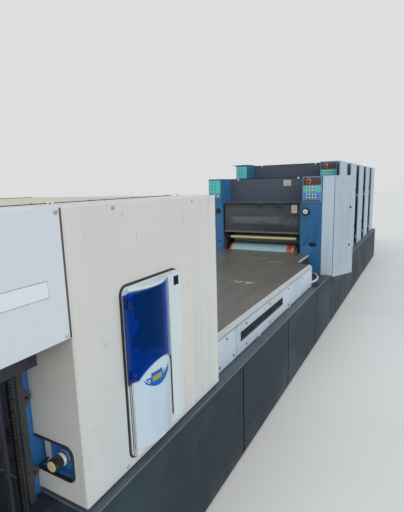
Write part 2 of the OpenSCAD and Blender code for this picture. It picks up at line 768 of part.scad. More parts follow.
module knuckles(x, y, zs) {
    for (z = zs) difference() {
        union() {
            rod_z(x, -y, z + 16 + 0.3, z + 56, 22);
            block(x, x + 34, -y - arm, -y - 2, z + 16 + 0.3, z + 56);
        }
        rod_z(x, -y, z, z + 80, pin_d + 2 * fit);
    }
}

module coater_door() color("#a9b6be")
    translate([coater_hinge_x, -coater_hinge_y, 0]) rotate(-door_ajar) translate([-coater_hinge_x, coater_hinge_y, 0]) {
        door(coater_hinge_x, coater_hinge_y, -12, coater_door_w, base_h - coater_drop, coater_top, 72, [340, 772]);
        knuckles(coater_hinge_x, coater_hinge_y, [base_h + 60, coater_top - 130]);
    }

function door_x(i) = unit_x(i) - door_lead + hinge_in;

module door_hinges() color("#2d3136") {
    for (i = [1:unit_n]) for (z = [base_h + 90, unit_top - 530]) {
        hinge_arm(door_x(i), hinge_y, 12, z);
        block(door_x(i) - 6, unit_x(i) + 30, -hinge_y + 12, -column_out, z, z + 16);
    }
}

module unit_door(i) color("#a9b6be") {
    door(door_x(i), hinge_y, hinge_in, door_w, base_h + door_gap, unit_top - 6);
    knuckles(door_x(i), hinge_y, [base_h + 90, unit_top - 530]);
}

module drive_covers() color("#a9b6be") {
    for (i = [0:unit_n]) {
        top = i == 0 ? coater_top : unit_top - 6;
        block(unit_x(i), unit_x(i) + unit_len, column_out, door_y, base_h, column_top);
        block(unit_x(i) + 300, unit_x(i) + unit_len, column_in + 80, door_y, column_top, top);
    }
}

module feeder_frames() color("#2f6cb0") {
    sides() slab(-feeder_y, -feeder_y + 50) difference() {
        polygon([[x_last + 12.3, 0], [x_last + 12.3, feeder_h - 250], [x_last + 500, feeder_h], [x_end - 40, feeder_h], [x_end - 40, 0]]);
        round_rect(x_last + 130, x_last + 480, 160, feeder_h - 510, 40);
        round_rect(x_last + 640, x_end - 200, 160, feeder_h - 240, 40);
    }
}

module feeder_ties() color("#3a4148") {
    y = feeder_y - 50;
    for (p = [[x_last + 80, 120], [x_end - 120, 90], [x_end - 120, feeder_h - 90]]) rod_y(p[0], p[1], -y, y, 70);
    block(x_end - 60, x_end - 40, -y, y, feeder_h - 60, feeder_h);
    sides() for (x = feeder_beams) rod_z(x, -y + 12, 100, feeder_h - 80, 24);
}

// Sloping feed board with its tape rollers
module feed_board() color("#8a8f94") {
    y = feeder_y - 50;
    z0 = feeder_h - 370;
    z1 = feeder_h - 175;
    slab(-y, y) polygon([[x_last + 14, z0], [x_last + 14, z0 + 25], [x_last + 600, z1 + 25], [x_last + 600, z1]]);
    rod_y(x_last + 60, z0 - 5, -y, y, 40);
    rod_y(x_last + 590, z1 - 30, -y, y, 40);
}

module suction_head() color("#6c7176") {
    y = feeder_y - 50;
    block(x_last + 760, x_last + 860, -y, y, feeder_h - 60, feeder_h);
    block(x_last + 740, x_last + 1000, -160, 160, feeder_h - 130, feeder_h - 60);
    for (s = [-110, -40, 40, 110]) rod_z(x_last + 960, s, feeder_h - 190, feeder_h - 130, 30);
}

module feeder_pile() color("#7d6b52") {
    y = feeder_y - 50;
    block(x_last + 640, x_end - 210, -y + 40, y - 40, feeder_pile_z, feeder_pile_z + 40);
    for (x = feeder_beams) block(x - 30, x + 30, -y + 24.3, y - 24.3, feeder_pile_z - 60, feeder_pile_z);
}

base_frame();
base_panels();
platform();
platform_trim();
delivery_frames();
delivery_ties();
pile_guides();
chain_channels();
hoist_chains();
hoist_wheels();
pile_board();
top_covers();
sign_panels();
side_rails();
end_cover();
dryer_cover();
drive_cover();
cutout_edging();
knob_plate();
setting_knob();
window_edging();
window_frame();
blue_cover();
control_panel();
table_body();
table_top();
table_sides();
table_trim();
drain_hose();
unit_frames();
front_columns();
column_gauges();
switch_boxes();
keypads();
coater_hood();
unit_hoods();
front_guards();
coater_guard();
coater_bars();
blanket_cylinder();
form_roller();
metering_roller();
coater_post();
coater_door();
door_hinges();
unit_door(1);  // door_1
unit_door(2);  // door_2
unit_door(3);  // door_3
unit_door(4);  // door_4
unit_door(5);  // door_5
drive_covers();
feeder_frames();
feeder_ties();
feed_board();
suction_head();
feeder_pile();
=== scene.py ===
# Sheet-fed offset printing press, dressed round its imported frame. Metres: the delivery is at -X,
# the feeder at +X, the operator side at -Y, and the floor at Z 0.
import json
import math

import bmesh
import bpy
from mathutils import Matrix, Vector

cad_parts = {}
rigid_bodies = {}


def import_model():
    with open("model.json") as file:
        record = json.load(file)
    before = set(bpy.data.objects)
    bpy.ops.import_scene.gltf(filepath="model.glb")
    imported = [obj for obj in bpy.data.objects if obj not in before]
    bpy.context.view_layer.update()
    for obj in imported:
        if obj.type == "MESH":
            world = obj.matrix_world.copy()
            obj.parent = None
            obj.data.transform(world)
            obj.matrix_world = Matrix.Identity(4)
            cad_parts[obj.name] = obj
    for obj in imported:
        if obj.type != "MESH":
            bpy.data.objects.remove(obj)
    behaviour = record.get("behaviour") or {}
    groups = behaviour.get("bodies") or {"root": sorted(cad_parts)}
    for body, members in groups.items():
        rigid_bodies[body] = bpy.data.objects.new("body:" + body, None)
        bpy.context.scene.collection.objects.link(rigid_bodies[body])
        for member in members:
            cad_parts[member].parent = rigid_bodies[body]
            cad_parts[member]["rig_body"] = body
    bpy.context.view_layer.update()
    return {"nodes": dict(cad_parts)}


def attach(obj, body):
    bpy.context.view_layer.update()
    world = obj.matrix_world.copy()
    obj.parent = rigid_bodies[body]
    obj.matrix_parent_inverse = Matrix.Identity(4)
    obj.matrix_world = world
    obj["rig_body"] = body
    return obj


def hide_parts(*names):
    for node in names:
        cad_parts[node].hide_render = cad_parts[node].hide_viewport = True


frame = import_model()


# BASE: a welded housing on the floor, closed with folded slate-painted side panels and topped
# with the walking platform. A thin light strip along the platform's edge paints the highlight on
# its worn outer edge. The panels hang on socket screws and are scuffed by shoes and trolleys.
UP, ALONG, OPERATOR, DELIVERY = (0, 0, 1), (1, 0, 0), (0, -1, 0), (-1, 0, 0)
SIDES = (-1, 1)


def worked(operation, reflected=False):
    """An operator of Tone, which adds one Math node."""
    def apply(tone, other=0.0):
        first, second = (other, tone) if reflected else (tone, other)
        return Nodes(tone.socket.id_data).node("ShaderNodeMath", {0: first, 1: second}, operation=operation)
    return apply


class Tone:
    """One output of a node. Sums, products and comparisons of numbers add Math nodes."""

    def __init__(self, socket):
        self.socket = socket

    __add__ = __radd__ = worked("ADD")
    __mul__ = __rmul__ = worked("MULTIPLY")
    __sub__, __rsub__ = worked("SUBTRACT"), worked("SUBTRACT", reflected=True)
    __gt__, __lt__, __abs__ = worked("GREATER_THAN"), worked("LESS_THAN"), worked("ABSOLUTE")


class Nodes:
    """A node tree. Its one method adds a node with the values or links of its sockets."""

    def __init__(self, tree):
        self.tree = tree

    def node(self, kind, values=None, out=0, **settings):
        made = self.tree.nodes.new(kind)
        for key, value in settings.items():
            setattr(made, key, value)
        for socket, value in (values or {}).items():
            self.feed(made.inputs[socket], value)
        return Tone(made.outputs[out]) if len(made.outputs) else made

    def feed(self, socket, value):
        if isinstance(value, Tone):
            self.tree.links.new(value.socket, socket)
        else:
            socket.default_value = value


def shade(red, green, blue):
    """A colour as the eye reads it, 0 to 255, made into the renderer's numbers."""
    shares = (red / 255, green / 255, blue / 255)
    return tuple(c / 12.92 if c <= 0.04045 else ((c + 0.055) / 1.055) ** 2.4 for c in shares) + (1.0,)


class Finish(Nodes):
    """One paint, metal, rubber or plastic of the press, round a Principled shader."""

    def __init__(self, name, fixed):
        self.material = bpy.data.materials.new(name)
        self.material.use_nodes = True
        super().__init__(self.material.node_tree)
        self.shader = next(n for n in self.tree.nodes if n.type == "BSDF_PRINCIPLED").inputs
        for socket, value in fixed.items():
            self.shader[socket].default_value = value
        self.at = self.node("ShaderNodeTexCoord", out="Object")

    def cloud(self, scale, low=0.4, high=0.6, stretch=(1, 1, 1), detail=3.0, shift=0.0):
        """Patches of noise on the piece's own coordinates, 0 below low and 1 above high."""
        place = self.node("ShaderNodeMapping", {"Vector": self.at, "Scale": stretch,
            "Location": (shift,) * 3})
        noise = self.node("ShaderNodeTexNoise", {"Vector": place, "Scale": scale, "Detail": detail})
        return self.ramp(noise, low, high)

    def ramp(self, value, low, high):
        return self.node("ShaderNodeMapRange", {"Value": value, "From Min": low, "From Max": high})

    def part(self, axis):
        return self.node("ShaderNodeSeparateXYZ", {"Vector": self.at}, axis)

    def mix(self, mask, under, over):
        return self.node("ShaderNodeMix", {0: mask, 6: under, 7: over}, 2, data_type="RGBA")

    def edges(self, radius=0.004):
        """1 along worn edges, 0 on flat faces."""
        soft = self.node("ShaderNodeBevel", {"Radius": radius}, samples=4)
        flat = self.node("ShaderNodeNewGeometry", out="Normal")
        facing = self.node("ShaderNodeVectorMath", {0: soft, 1: flat}, "Value", operation="DOT_PRODUCT")
        return self.ramp(1 - facing, 0.05, 0.25)

    def over(self, mask, colour):
        """Lays a colour on what the finish already has, where the mask is 1."""
        under = Tone(self.shader["Base Color"].links[0].from_socket)
        self.feed(self.shader["Base Color"], self.mix(mask, under, shade(*colour)))

    def surface(self, colour, rough, grain=None, depth=0.0):
        self.feed(self.shader["Base Color"], colour)
        self.feed(self.shader["Roughness"], rough)
        if grain is not None:
            bump = self.node("ShaderNodeBump", {"Strength": 1.0, "Distance": depth, "Height": grain})
            self.feed(self.shader["Normal"], bump)
        return self


def painted(name, colour, rough, dirt, soil=0.35, peel=6e-5, mottle=0.5, streak=0.3, worn=0.0,
            bare=(150, 150, 148), metallic=0.0, specular=0.5, coat=0.0):
    """Sprayed paint: orange peel, faint clouding, runs of dirt down the sheet and rubbed edges."""
    made = Finish(name, {"Metallic": metallic, "Specular IOR Level": specular, "Coat Weight": coat})
    base = shade(*colour)
    clouds = made.cloud(1.3, 0.35, 0.65, detail=5.0) * mottle
    runs = made.cloud(5.0, 0.50, 0.72, (2.2, 2.2, 0.16), 4.0, 3.0) * made.cloud(1.1, 0.42, detail=2.0,
        shift=7.0)
    marks = made.cloud(16, 0.63, 0.74, (1, 1, 0.6), 6.0, 11.0)
    tone = made.mix(clouds, base, tuple(c * 0.90 for c in base[:3]) + (1,))
    tone = made.mix(runs * streak, tone, shade(*dirt))
    tone = made.mix(marks * soil * 0.5, tone, shade(*dirt))
    if worn:
        rubbed = made.edges() * made.cloud(22, 0.42, 0.56, detail=4.0, shift=5.0) * worn
        tone = made.mix(rubbed, tone, shade(*bare))
    grain = made.cloud(420, 0.3, 0.7, detail=1.0)
    return made.surface(tone, rough + runs * 0.12 + marks * 0.1, grain, peel)


def two_tone(name, metallic, scale, high, colour, other, rough):
    """A bare metal or plastic that clouds from one colour to another."""
    made = Finish(name, {"Metallic": metallic})
    return made.surface(made.mix(made.cloud(scale, 0.4, high), shade(*colour), shade(*other)), rough)


def coat(finish, *nodes):
    """Gives CAD nodes, whose shape is right, their finish."""
    for node in nodes:
        slots = frame["nodes"][node].material_slots
        if not slots:
            frame["nodes"][node].data.materials.append(finish.material)
        for slot in slots:
            slot.material = finish.material


def mesh_of(bm, name="shape"):
    """A built shape as a mesh, with its faces pointing outwards."""
    mesh = bpy.data.meshes.new(name)
    bmesh.ops.recalc_face_normals(bm, faces=bm.faces)
    bm.to_mesh(mesh)
    bm.free()
    return mesh


def piece(name, mesh, finish, moves_with=None, stands_for=None, rounding=0.0, segments=2, smooth=35):
    """A new piece of the press. It moves with a CAD node, if one is named, and may stand for one."""
    if isinstance(mesh, bmesh.types.BMesh):
        mesh = mesh_of(mesh, name)
    mesh.materials.clear()
    mesh.materials.append(finish.material)
    obj = bpy.data.objects.new(name, mesh)
    bpy.context.scene.collection.objects.link(obj)
    if rounding:
        edge = obj.modifiers.new("rounding", "BEVEL")
        edge.width, edge.segments = rounding, segments
        edge.limit_method, edge.angle_limit = "ANGLE", math.radians(40)
    mesh.polygons.foreach_set("use_smooth", [True] * len(mesh.polygons))
    mesh.set_sharp_from_angle(angle=math.radians(smooth))
    node = moves_with or stands_for
    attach(obj, frame["nodes"][node]["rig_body"] if node else "press")
    if stands_for:
        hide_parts(stands_for)
    return obj


def formed(node, finish, rounding=0.002, segments=2):
    """A CAD node's own shape with its sheet edges rounded, which stands for the node."""
    bm = bmesh.new()
    bm.from_mesh(frame["nodes"][node].data)
    bmesh.ops.remove_doubles(bm, verts=bm.verts, dist=2e-5)
    bmesh.ops.dissolve_limit(bm, angle_limit=0.01, verts=bm.verts, edges=bm.edges)
    mesh = bpy.data.meshes.new(node)
    bm.to_mesh(mesh)
    bm.free()
    piece(node + "_formed", mesh, finish, stands_for=node, rounding=rounding, segments=segments)


def block(bm, x0, x1, y0, y1, z0, z1):
    x0, x1, y0, y1, z0, z1 = *sorted((x0, x1)), *sorted((y0, y1)), *sorted((z0, z1))
    corners = [bm.verts.new((x, y, z)) for z in (z0, z1) for x, y in ((x0, y0), (x1, y0), (x1, y1), (x0, y1))]
    for f in ((0, 3, 2, 1), (4, 5, 6, 7), (0, 1, 5, 4), (1, 2, 6, 5), (2, 3, 7, 6), (3, 0, 4, 7)):
        bm.faces.new([corners[i] for i in f])
    return bm


def blocks(*boxes, mirrored=False):
    """Boxes (x0, x1, y0, y1, z0, z1) as one shape, or also on the press's other side."""
    bm = bmesh.new()
    for x0, x1, y0, y1, z0, z1 in boxes:
        for side in SIDES if mirrored else (1,):
            block(bm, x0, x1, side * y0, side * y1, z0, z1)
    return bm


def turned(bm, profile, centre, axis, sides=24):
    """A turned part: (radius, height) rings round an axis through centre, closed at both ends."""
    up = Vector(axis).normalized()
    side = up.orthogonal().normalized()
    over = up.cross(side)
    rings = []
    for radius, height in profile:
        mid = Vector(centre) + up * height
        angles = [2 * math.pi * k / sides for k in range(sides)] if radius > 1e-6 else [0]
        rings.append([bm.verts.new(mid + (side * math.cos(a) + over * math.sin(a)) * radius) for a in angles])
    for low, high in zip(rings, rings[1:]):
        for k in range(sides):
            after = k + 1
            ring = [low[k % len(low)], low[after % len(low)], high[after % len(high)], high[k % len(high)]]
            bm.faces.new(sorted(set(ring), key=ring.index))
    for ring in (rings[0], rings[-1]):
        if len(ring) > 1:
            bm.faces.new(ring)
    return bm


def turned_shape(profile, sides):
    return mesh_of(turned(bmesh.new(), profile, (0, 0, 0), UP, sides))


slate = painted("slate_paint", (32, 46, 57), 0.62, (62, 76, 80), 0.5, 8e-5, 0.7, 0.25, 0.8,
                (122, 132, 140), specular=0.25)
faded = slate.cloud(1.5, 0.50, 0.68, (1, 1, 1.6), 6.0, 21.0)
scratches = slate.cloud(26, 0.60, 0.66, (0.5, 0.5, 2.2), 6.0, 5.0) * slate.cloud(2.4, 0.50, 0.62,
    detail=2.0, shift=2.0)
floor_dust = slate.ramp(0.16 - slate.part("Z"), 0.0, 0.16) * slate.cloud(7, 0.35, 0.65)
slate.over(faded * 0.6, (58, 79, 86))
slate.over(scratches * 0.16, (104, 116, 124))
slate.over(floor_dust * 0.5, (84, 82, 78))
dark_frame = painted("dark_frame_paint", (38, 42, 48), 0.5, (70, 67, 62), 0.6)
trim_paint = painted("trim_paint", (60, 72, 81), 0.5, (60, 66, 70), 0.8, 4e-5, 0.6, 0.2, 0.3,
                     (120, 130, 138), specular=0.3)
# Painted shade: the trim darkens towards the delivery end, under the big cover.
trim_paint.over(trim_paint.ramp(trim_paint.part("X"), -3.3, -4.3) * 0.75, (34, 45, 49))
light_edge = painted("light_edge", (126, 138, 146), 0.42, (84, 90, 94), 1.0, 3e-5, 0.9, 0.2, 0.5,
                     (96, 104, 110))
platform_paint = painted("platform_paint", (82, 94, 106), 0.6, (66, 70, 74), 1.0, 1e-4, 0.9, 0.2, 0.6)
# Painted shade: the platform darkens between the table's end and the coater, deepest towards the operator
# side.
between_table_and_coater = (platform_paint.part("X") > -1.85) * (platform_paint.part("X") < -1.05)
platform_paint.over(platform_paint.ramp(platform_paint.part("Y"), -0.55, -0.70) * between_table_and_coater * 0.7, (40, 52, 60))
coat(dark_frame, "base_frame")
formed("base_panels", slate)
coat(platform_paint, "platform")
coat(trim_paint, "platform_trim")
# A thin light strip paints the highlight along the trim's worn outer edge.
piece("trim_edge", blocks((-4.883, 3.622, 0.8334, 0.8347, 0.6070, 0.6102), mirrored=True),
      light_edge, rounding=0.0004)

# The screws of the whole press are set out by one tree: a small turned shape at each point,
# standing on the sheet that it holds and turned its own way.
layout = Nodes(bpy.data.node_groups.new("set_out", "GeometryNodeTree"))
sockets = layout.tree.interface
sockets.new_socket("Geometry", in_out="OUTPUT", socket_type="NodeSocketGeometry")
for label, kind in (("Places", "Geometry"), ("Shape", "Object"), ("Size", "Float"), ("Finish", "Material")):
    sockets.new_socket(label, in_out="INPUT", socket_type="NodeSocket" + kind)
way = {label: layout.node("GeometryNodeInputNamedAttribute", {"Name": label}, "Attribute",
                          data_type="FLOAT_VECTOR")
       for label in ("out", "along")}
turn = layout.node("FunctionNodeAxesToRotation", {0: way["out"], 1: way["along"]}, primary_axis="Z",
                   secondary_axis="X")
given = {item.name: layout.node("NodeGroupInput", out=item.name)
         for item in sockets.items_tree if item.in_out == "INPUT"}
shape = layout.node("GeometryNodeObjectInfo", {"Object": given["Shape"]}, "Geometry")
spread = layout.node("GeometryNodeInstanceOnPoints", {
    "Points": given["Places"], "Instance": shape, "Rotation": turn, "Scale": given["Size"]})
solid = layout.node("GeometryNodeRealizeInstances", {"Geometry": spread})
dressed = layout.node("GeometryNodeSetMaterial", {"Geometry": solid, "Material": given["Finish"]})
layout.node("NodeGroupOutput", {"Geometry": dressed})


def set_out(name, shape_mesh, places, finish, scale=1.0, stands_for=None):
    """One mesh with the shape at each place: (point, outward direction, direction along)."""
    points = bpy.data.meshes.new(name)
    points.from_pydata([p[0] for p in places], [], [])
    for label, column in (("out", 1), ("along", 2)):
        directions = points.attributes.new(label, "FLOAT_VECTOR", "POINT")
        directions.data.foreach_set("vector", [c for p in places for c in p[column]])
    holder = bpy.data.objects.new(name, points)
    source = bpy.data.objects.new(name + "_shape", shape_mesh)
    for o in (holder, source):
        bpy.context.scene.collection.objects.link(o)
    spreader = holder.modifiers.new("set_out", "NODES")
    spreader.node_group = layout.tree
    for item in sockets.items_tree:
        if item.in_out == "INPUT" and item.name != "Places":
            spreader[item.identifier] = {"Shape": source, "Size": scale, "Finish": finish.material}[item.name]
    bpy.context.view_layer.update()
    mesh = bpy.data.meshes.new_from_object(holder.evaluated_get(bpy.context.evaluated_depsgraph_get()))
    for o in (holder, source):
        bpy.data.objects.remove(o)
    piece(name, mesh, finish, stands_for=stands_for)


def on_sides(points, y):
    """Places on both side faces of the press, at each X and Z."""
    return [((x, side * y, z), (0, side, 0), UP) for side in SIDES for x, z in points]


PANEL_ENDS = (-4.884, -3.656, -2.750, -1.804, -1.030, -0.0994, 0.8312, 1.7618, 2.6924, 3.623)
socket_screw = turned_shape(
    [(1.4, 0), (1.4, .16), (1.0, .2), (1.0, .75), (.84, .95), (.5, .95), (.44, .4), (0, .36)], 10)
zinc = two_tone("zinc_screws", 0.9, 60, 0.7, (206, 212, 216), (128, 130, 130), 0.34)
dark_screws = two_tone("dark_screws", 0.5, 80, 0.7, (58, 60, 64), (92, 88, 82), 0.45)
corners = [(x, z) for left, right in zip(PANEL_ENDS, PANEL_ENDS[1:]) for x in (left + 0.035, right - 0.035)
           for z in (0.075, 0.575)]
set_out("base_screws", socket_screw, on_sides(corners, 0.830), dark_screws, 0.006)
# The folded panel edges meet in dark gaps, and a light strip paints the highlight on each folded corner.
# A near black for the dark gaps and slot floors, and for the painted shadow strips under the hoods.
gap_dark = painted("gap_dark", (10, 13, 18), 0.7, (22, 24, 26), 0.3, specular=0.05)
fold_light = painted("fold_light", (66, 80, 90), 0.5, (50, 58, 66), 1.0, 3e-5, 0.8, 0.6)
gaps = [(x - 0.0120, x + 0.0055, 0.829, 0.8304, 0.019, 0.577) for x in PANEL_ENDS[1:-1]]
folds = [(x + 0.0055, x + 0.0085, 0.829, 0.8306, 0.022, 0.574) for x in PANEL_ENDS[1:-1]]
piece("panel_gaps", blocks(*gaps, mirrored=True), gap_dark)
piece("panel_folds", blocks(*folds, mirrored=True), fold_light, rounding=0.0003)

# DELIVERY FRAMES: two thick cast side plates in machine blue, joined by round ties. The bright
# guide bars and black channels of the pile hoist are bolted to their outer faces.
machine_blue = painted("machine_blue", (46, 108, 168), 0.42, (34, 62, 92), 0.8, 9e-5, 0.8, 0.5, 0.5,
                       (120, 118, 112))
black_paint = painted("black_paint", (34, 38, 50), 0.45, (64, 66, 72), 0.6, 8e-5, 0.6, 0.2, 0.6, (82, 82, 84))
guide_steel = painted(
    "guide_steel", (66, 66, 68), 0.5, (38, 36, 36), 1.0, 4e-5, 0.9, 0.9, 0.6, (120, 120, 118), metallic=0.2)
coat(machine_blue, "delivery_frames")
coat(dark_frame, "delivery_ties")
coat(guide_steel, "pile_guides")
coat(black_paint, "chain_channels")
places = on_sides([(-4.934, z) for z in (0.30, 0.50, 0.72, 0.86, 1.08)], 0.599)
places += on_sides([(x, z) for x in (-5.643, -5.714, -5.003, -5.074) for z in (0.42, 0.76, 1.10)], 0.597)
set_out("guide_screws", socket_screw, places, dark_screws, 0.0045)
# Two bright worn lines run down each guide bar, with a black groove between them.
groove_black = painted("groove_black", (20, 22, 26), 0.5, (40, 40, 40), 0.5)
lines = [(x, x + 0.0015, 0.5985, 0.6000, 0.268, 1.100) for x in (-4.9515, -4.9375)]
piece("guide_lines", blocks(*lines, mirrored=True), fold_light)
piece("guide_grooves", blocks((-4.9490, -4.9385, 0.5985, 0.5994, 0.268, 1.100), mirrored=True),
      groove_black)

# PILE HOIST: roller chains over toothed wheels carry the pile board. Plates, rollers and pins
# are greased dark steel, rubbed bright where they run.
chain_steel = Finish("chain_steel", {"Metallic": 0.6})
grease = chain_steel.cloud(40, detail=4.0)
greased = chain_steel.mix(grease, shade(44, 42, 40), shade(20, 19, 18))
chain_steel.surface(chain_steel.mix(chain_steel.edges(0.0015) * 0.7, greased, shade(96, 94, 90)),
                    0.4 + grease * 0.25)
pin_steel = two_tone("pin_steel", 0.9, 50, 0.65, (106, 102, 96), (44, 42, 40), 0.45)
wheel_steel = painted(
    "wheel_steel", (80, 81, 82), 0.4, (34, 30, 27), 1.0, 3e-5, 0.6, 0.3, 0.6, (140, 138, 132), metallic=0.6)
CHAIN_X, CHAIN_Y, WHEEL_Z, WHEEL_R, LINK = (-5.674, -5.034), 0.607, (0.245, 1.2737), 0.06165, 0.0127
LINKS_STRAIGHT, LINKS_ROUND, TEETH, MILLIMETRE = 81, 15, 30, 0.001


def cut_out(bm, outline, axis, low, high, hole=None):
    """A flat part: its outline, in the two axes that are left, made thick along one axis."""
    def put(a, b, c):
        return bm.verts.new({"X": (c, a, b), "Y": (a, c, b), "Z": (a, b, c)}[axis])
    edges = [[[put(a, b, c) for a, b in path] for c in (low, high)] for path in (outline, hole) if path]
    for near, far in edges:
        for k in range(len(near)):
            bm.faces.new((near[k - 1], near[k], far[k], far[k - 1]))
    for side in (0, 1):
        if hole:
            outer, inner = edges[0][side], edges[1][side]
            for k in range(len(outer)):
                bm.faces.new((outer[k - 1], outer[k], inner[k], inner[k - 1]))
        else:
            bm.faces.new(edges[0][side])
    return bm


def link_shape(heights):
    """A pair of waisted side plates in millimetres, with the two rollers between them."""
    bm = bmesh.new()
    waist = [(-11.5, -2.6), (-11.5, 2.6), (-8.6, 6.2), (0, 5.0), (8.6, 6.2)]
    for low in heights:
        cut_out(bm, waist + [(-a, -b) for a, b in waist], "Z", low, low + 2)
    for x in (-6.35, 6.35):
        turned(bm, [(4.6, -5.4), (4.6, 5.4)], (x, 0, 0), UP, 7)
    return mesh_of(bm)


def on_loop(s):
    """Point and direction at a number of links along a hoist chain's loop, in X and Z."""
    s = s % (2 * LINKS_STRAIGHT + 2 * LINKS_ROUND)
    far, s = divmod(s, LINKS_STRAIGHT + LINKS_ROUND)
    way_round, (low, high) = (-1, WHEEL_Z[::-1]) if far else (1, WHEEL_Z)
    if s < LINKS_STRAIGHT:
        return way_round * WHEEL_R, low + way_round * s * LINK, 0, way_round
    a = math.pi * (far + (s - LINKS_STRAIGHT) / LINKS_ROUND)
    return WHEEL_R * math.cos(a), high + WHEEL_R * math.sin(a), -math.sin(a), math.cos(a)


links = ([], [])
for side in SIDES:
    for chain in CHAIN_X:
        for k in range(2 * (LINKS_STRAIGHT + LINKS_ROUND)):
            x, z, dx, dz = on_loop(k + 0.5)
            links[k % 2].append(((chain + x, side * CHAIN_Y, z), (0, side, 0), (dx, 0, dz)))
set_out("chain_inner_links", link_shape((-7.6, 5.6)), links[0], chain_steel, MILLIMETRE,
        "hoist_chains")
set_out("chain_outer_links", link_shape((-9.8, 7.8)), links[1], chain_steel, MILLIMETRE)
pins = [(tuple(Vector(at) + Vector(along) * reach + Vector(out) * 0.0098), out, along)
        for at, out, along in links[1] for reach in (-LINK / 2, LINK / 2)]
set_out("chain_pins", turned_shape([(2.3, 0), (2.3, 1.0), (1.5, 1.5)], 6), pins, pin_steel,
        MILLIMETRE)
teeth = [((WHEEL_R + reach) * math.cos(a + turn_by), (WHEEL_R + reach) * math.sin(a + turn_by))
         for a in (2 * math.pi * (k + 0.5) / TEETH for k in range(TEETH))
         for turn_by, reach in ((-0.045, -0.0042), (-0.022, 0.0024), (0.022, 0.0024), (0.045, -0.0042))]
hub = [(0.015, 0), (0.015, 0.072), (0.030, 0.073), (0.030, 0.0775), (0.0205, 0.079), (0.0205, 0.088),
       (0.018, 0.091),
       (0.008, 0.091), (0.007, 0.088), (0, 0.088)]
bm = bmesh.new()
for side in SIDES:
    for x in CHAIN_X:
        for z in WHEEL_Z:
            cut_out(bm, [(x + a, z + b) for a, b in teeth], "Y", side * CHAIN_Y - 0.003,
                    side * CHAIN_Y + 0.003)
            turned(bm, hub, (x, side * 0.530, z), (0, side, 0), 28)
piece("hoist_wheels_cut", bm, wheel_steel, stands_for="hoist_wheels")
formed("pile_board", dark_frame, 0.003)

# DELIVERY COVERS: folded steel sheets. The top and the big side cover are cream grey, the plain side
# sheet white with a painted bluish sky reflection, all held by socket screws and streaked by years of wiping.
COVER_Y = 0.810
cream = painted("cream_paint", (203, 204, 201), 0.5, (158, 154, 146), 0.3, 7e-5, 0.6, 0.42, 0.35,
                (214, 213, 209))
cream.over(cream.cloud(60, 0.70, 0.78, (1, 1, 0.3), 2.0, 31.0) * 0.35, (134, 130, 124))
side_sheet = cream.ramp(cream.part("X"), -4.883, -4.870)
wiped = cream.cloud(3.4, 0.36, 0.70, (2.6, 2.6, 0.1), 3.0, 17.0) * cream.ramp(cream.part("Z"), 1.3, 0.75)
cream.over(wiped * side_sheet * 0.85, (180, 194, 199))
cream.over(cream.cloud(30, 0.52, 0.68, (3.0, 3.0, 0.10), 4.0, 13.0) * 0.16, (186, 184, 180))
drip_edges = [cream.cloud(5, low, low + 0.003, (5.0, 5.0, 0.30), 2.0, 41.0) for low in (0.500, 0.508)]
drips = drip_edges[0] * (1 - drip_edges[1]) * cream.cloud(2.2, 0.50, 0.58, (1, 1, 0.7), 2.0, 47.0)
cream.over(drips * side_sheet * 0.45, (146, 154, 158))
# Painted shade: the end faces take a darker, warmer tone upwards from Z 0.95.
cream.over((1 - side_sheet) * cream.ramp(cream.part("Z"), 0.95, 1.15) * 0.5, (186, 178, 166))
# Painted reflection: the plain side sheet's white is tinted bluish for the sky it reflects.
sky_tinted_white = painted("cool_white_paint", (201, 208, 217), 0.42, (150, 152, 152), 0.3, 4e-5, 0.3, 0.15, 0.3,
                     (222, 224, 226))
# Painted reflection: the top covers are painted a warmer cream for the warm light they reflect at a grazing
# view.
top_warm_reflection = painted("top_paint", (199, 193, 180), 0.55, (126, 114, 96), 0.9, 7e-5, 0.8, 0.1, 0.5,
                   (210, 206, 196))
formed("top_covers", top_warm_reflection, 0.0015)
formed("sign_panels", sky_tinted_white, 0.0025)
formed("end_cover", cream, 0.0015)
formed("dryer_cover", cream, 0.003, 3)
formed("drive_cover", cream, 0.003, 3)
formed("side_rails", black_paint, 0.003)
places = [((-5.84 + 0.27 * k + shift, side * y, 1.601), UP, ALONG)
          for k in range(8) for y, shift in ((0.528, 0), (0.579, 0.035)) for side in SIDES]
places += [((-4.95, side * 0.700, 1.1465), UP, ALONG) for side in SIDES]
set_out("top_screws", socket_screw, places, dark_screws, 0.004)
points = [(x, z) for x in (-4.902, -5.40, -5.88) for z in (1.588, 1.228)]
points += [(-4.671, 1.585), (-4.163, 1.584), (-4.682, 0.642), (-4.178, 0.642)]
set_out("cover_screws", socket_screw, on_sides(points, COVER_Y), zinc, 0.0052)
# A folded seam runs along the top with white clips, and a dark gap parts the side sheets.
seam_brown = painted("seam_brown", (80, 75, 70), 0.6, (52, 47, 43), 0.9, specular=0.2)
clip_white = painted("clip_white", (226, 224, 216), 0.4, (170, 166, 156), 0.6)
seam = blocks((-5.898, -3.942, 0.5495, 0.5575, 1.5990, 1.6038), mirrored=True)
clips = [(x, x + 0.030, 0.548, 0.559, 1.5990, 1.6072) for x in (-5.30, -5.19, -4.72)]
gap = blocks((-4.8890, -4.8830, COVER_Y - 0.001, COVER_Y + 0.0003, 1.2170, 1.5990), mirrored=True)
piece("top_seams", seam, seam_brown, rounding=0.001)
piece("seam_clips", blocks(*clips, mirrored=True), clip_white, rounding=0.0015)
piece("sheet_gaps", gap, seam_brown)
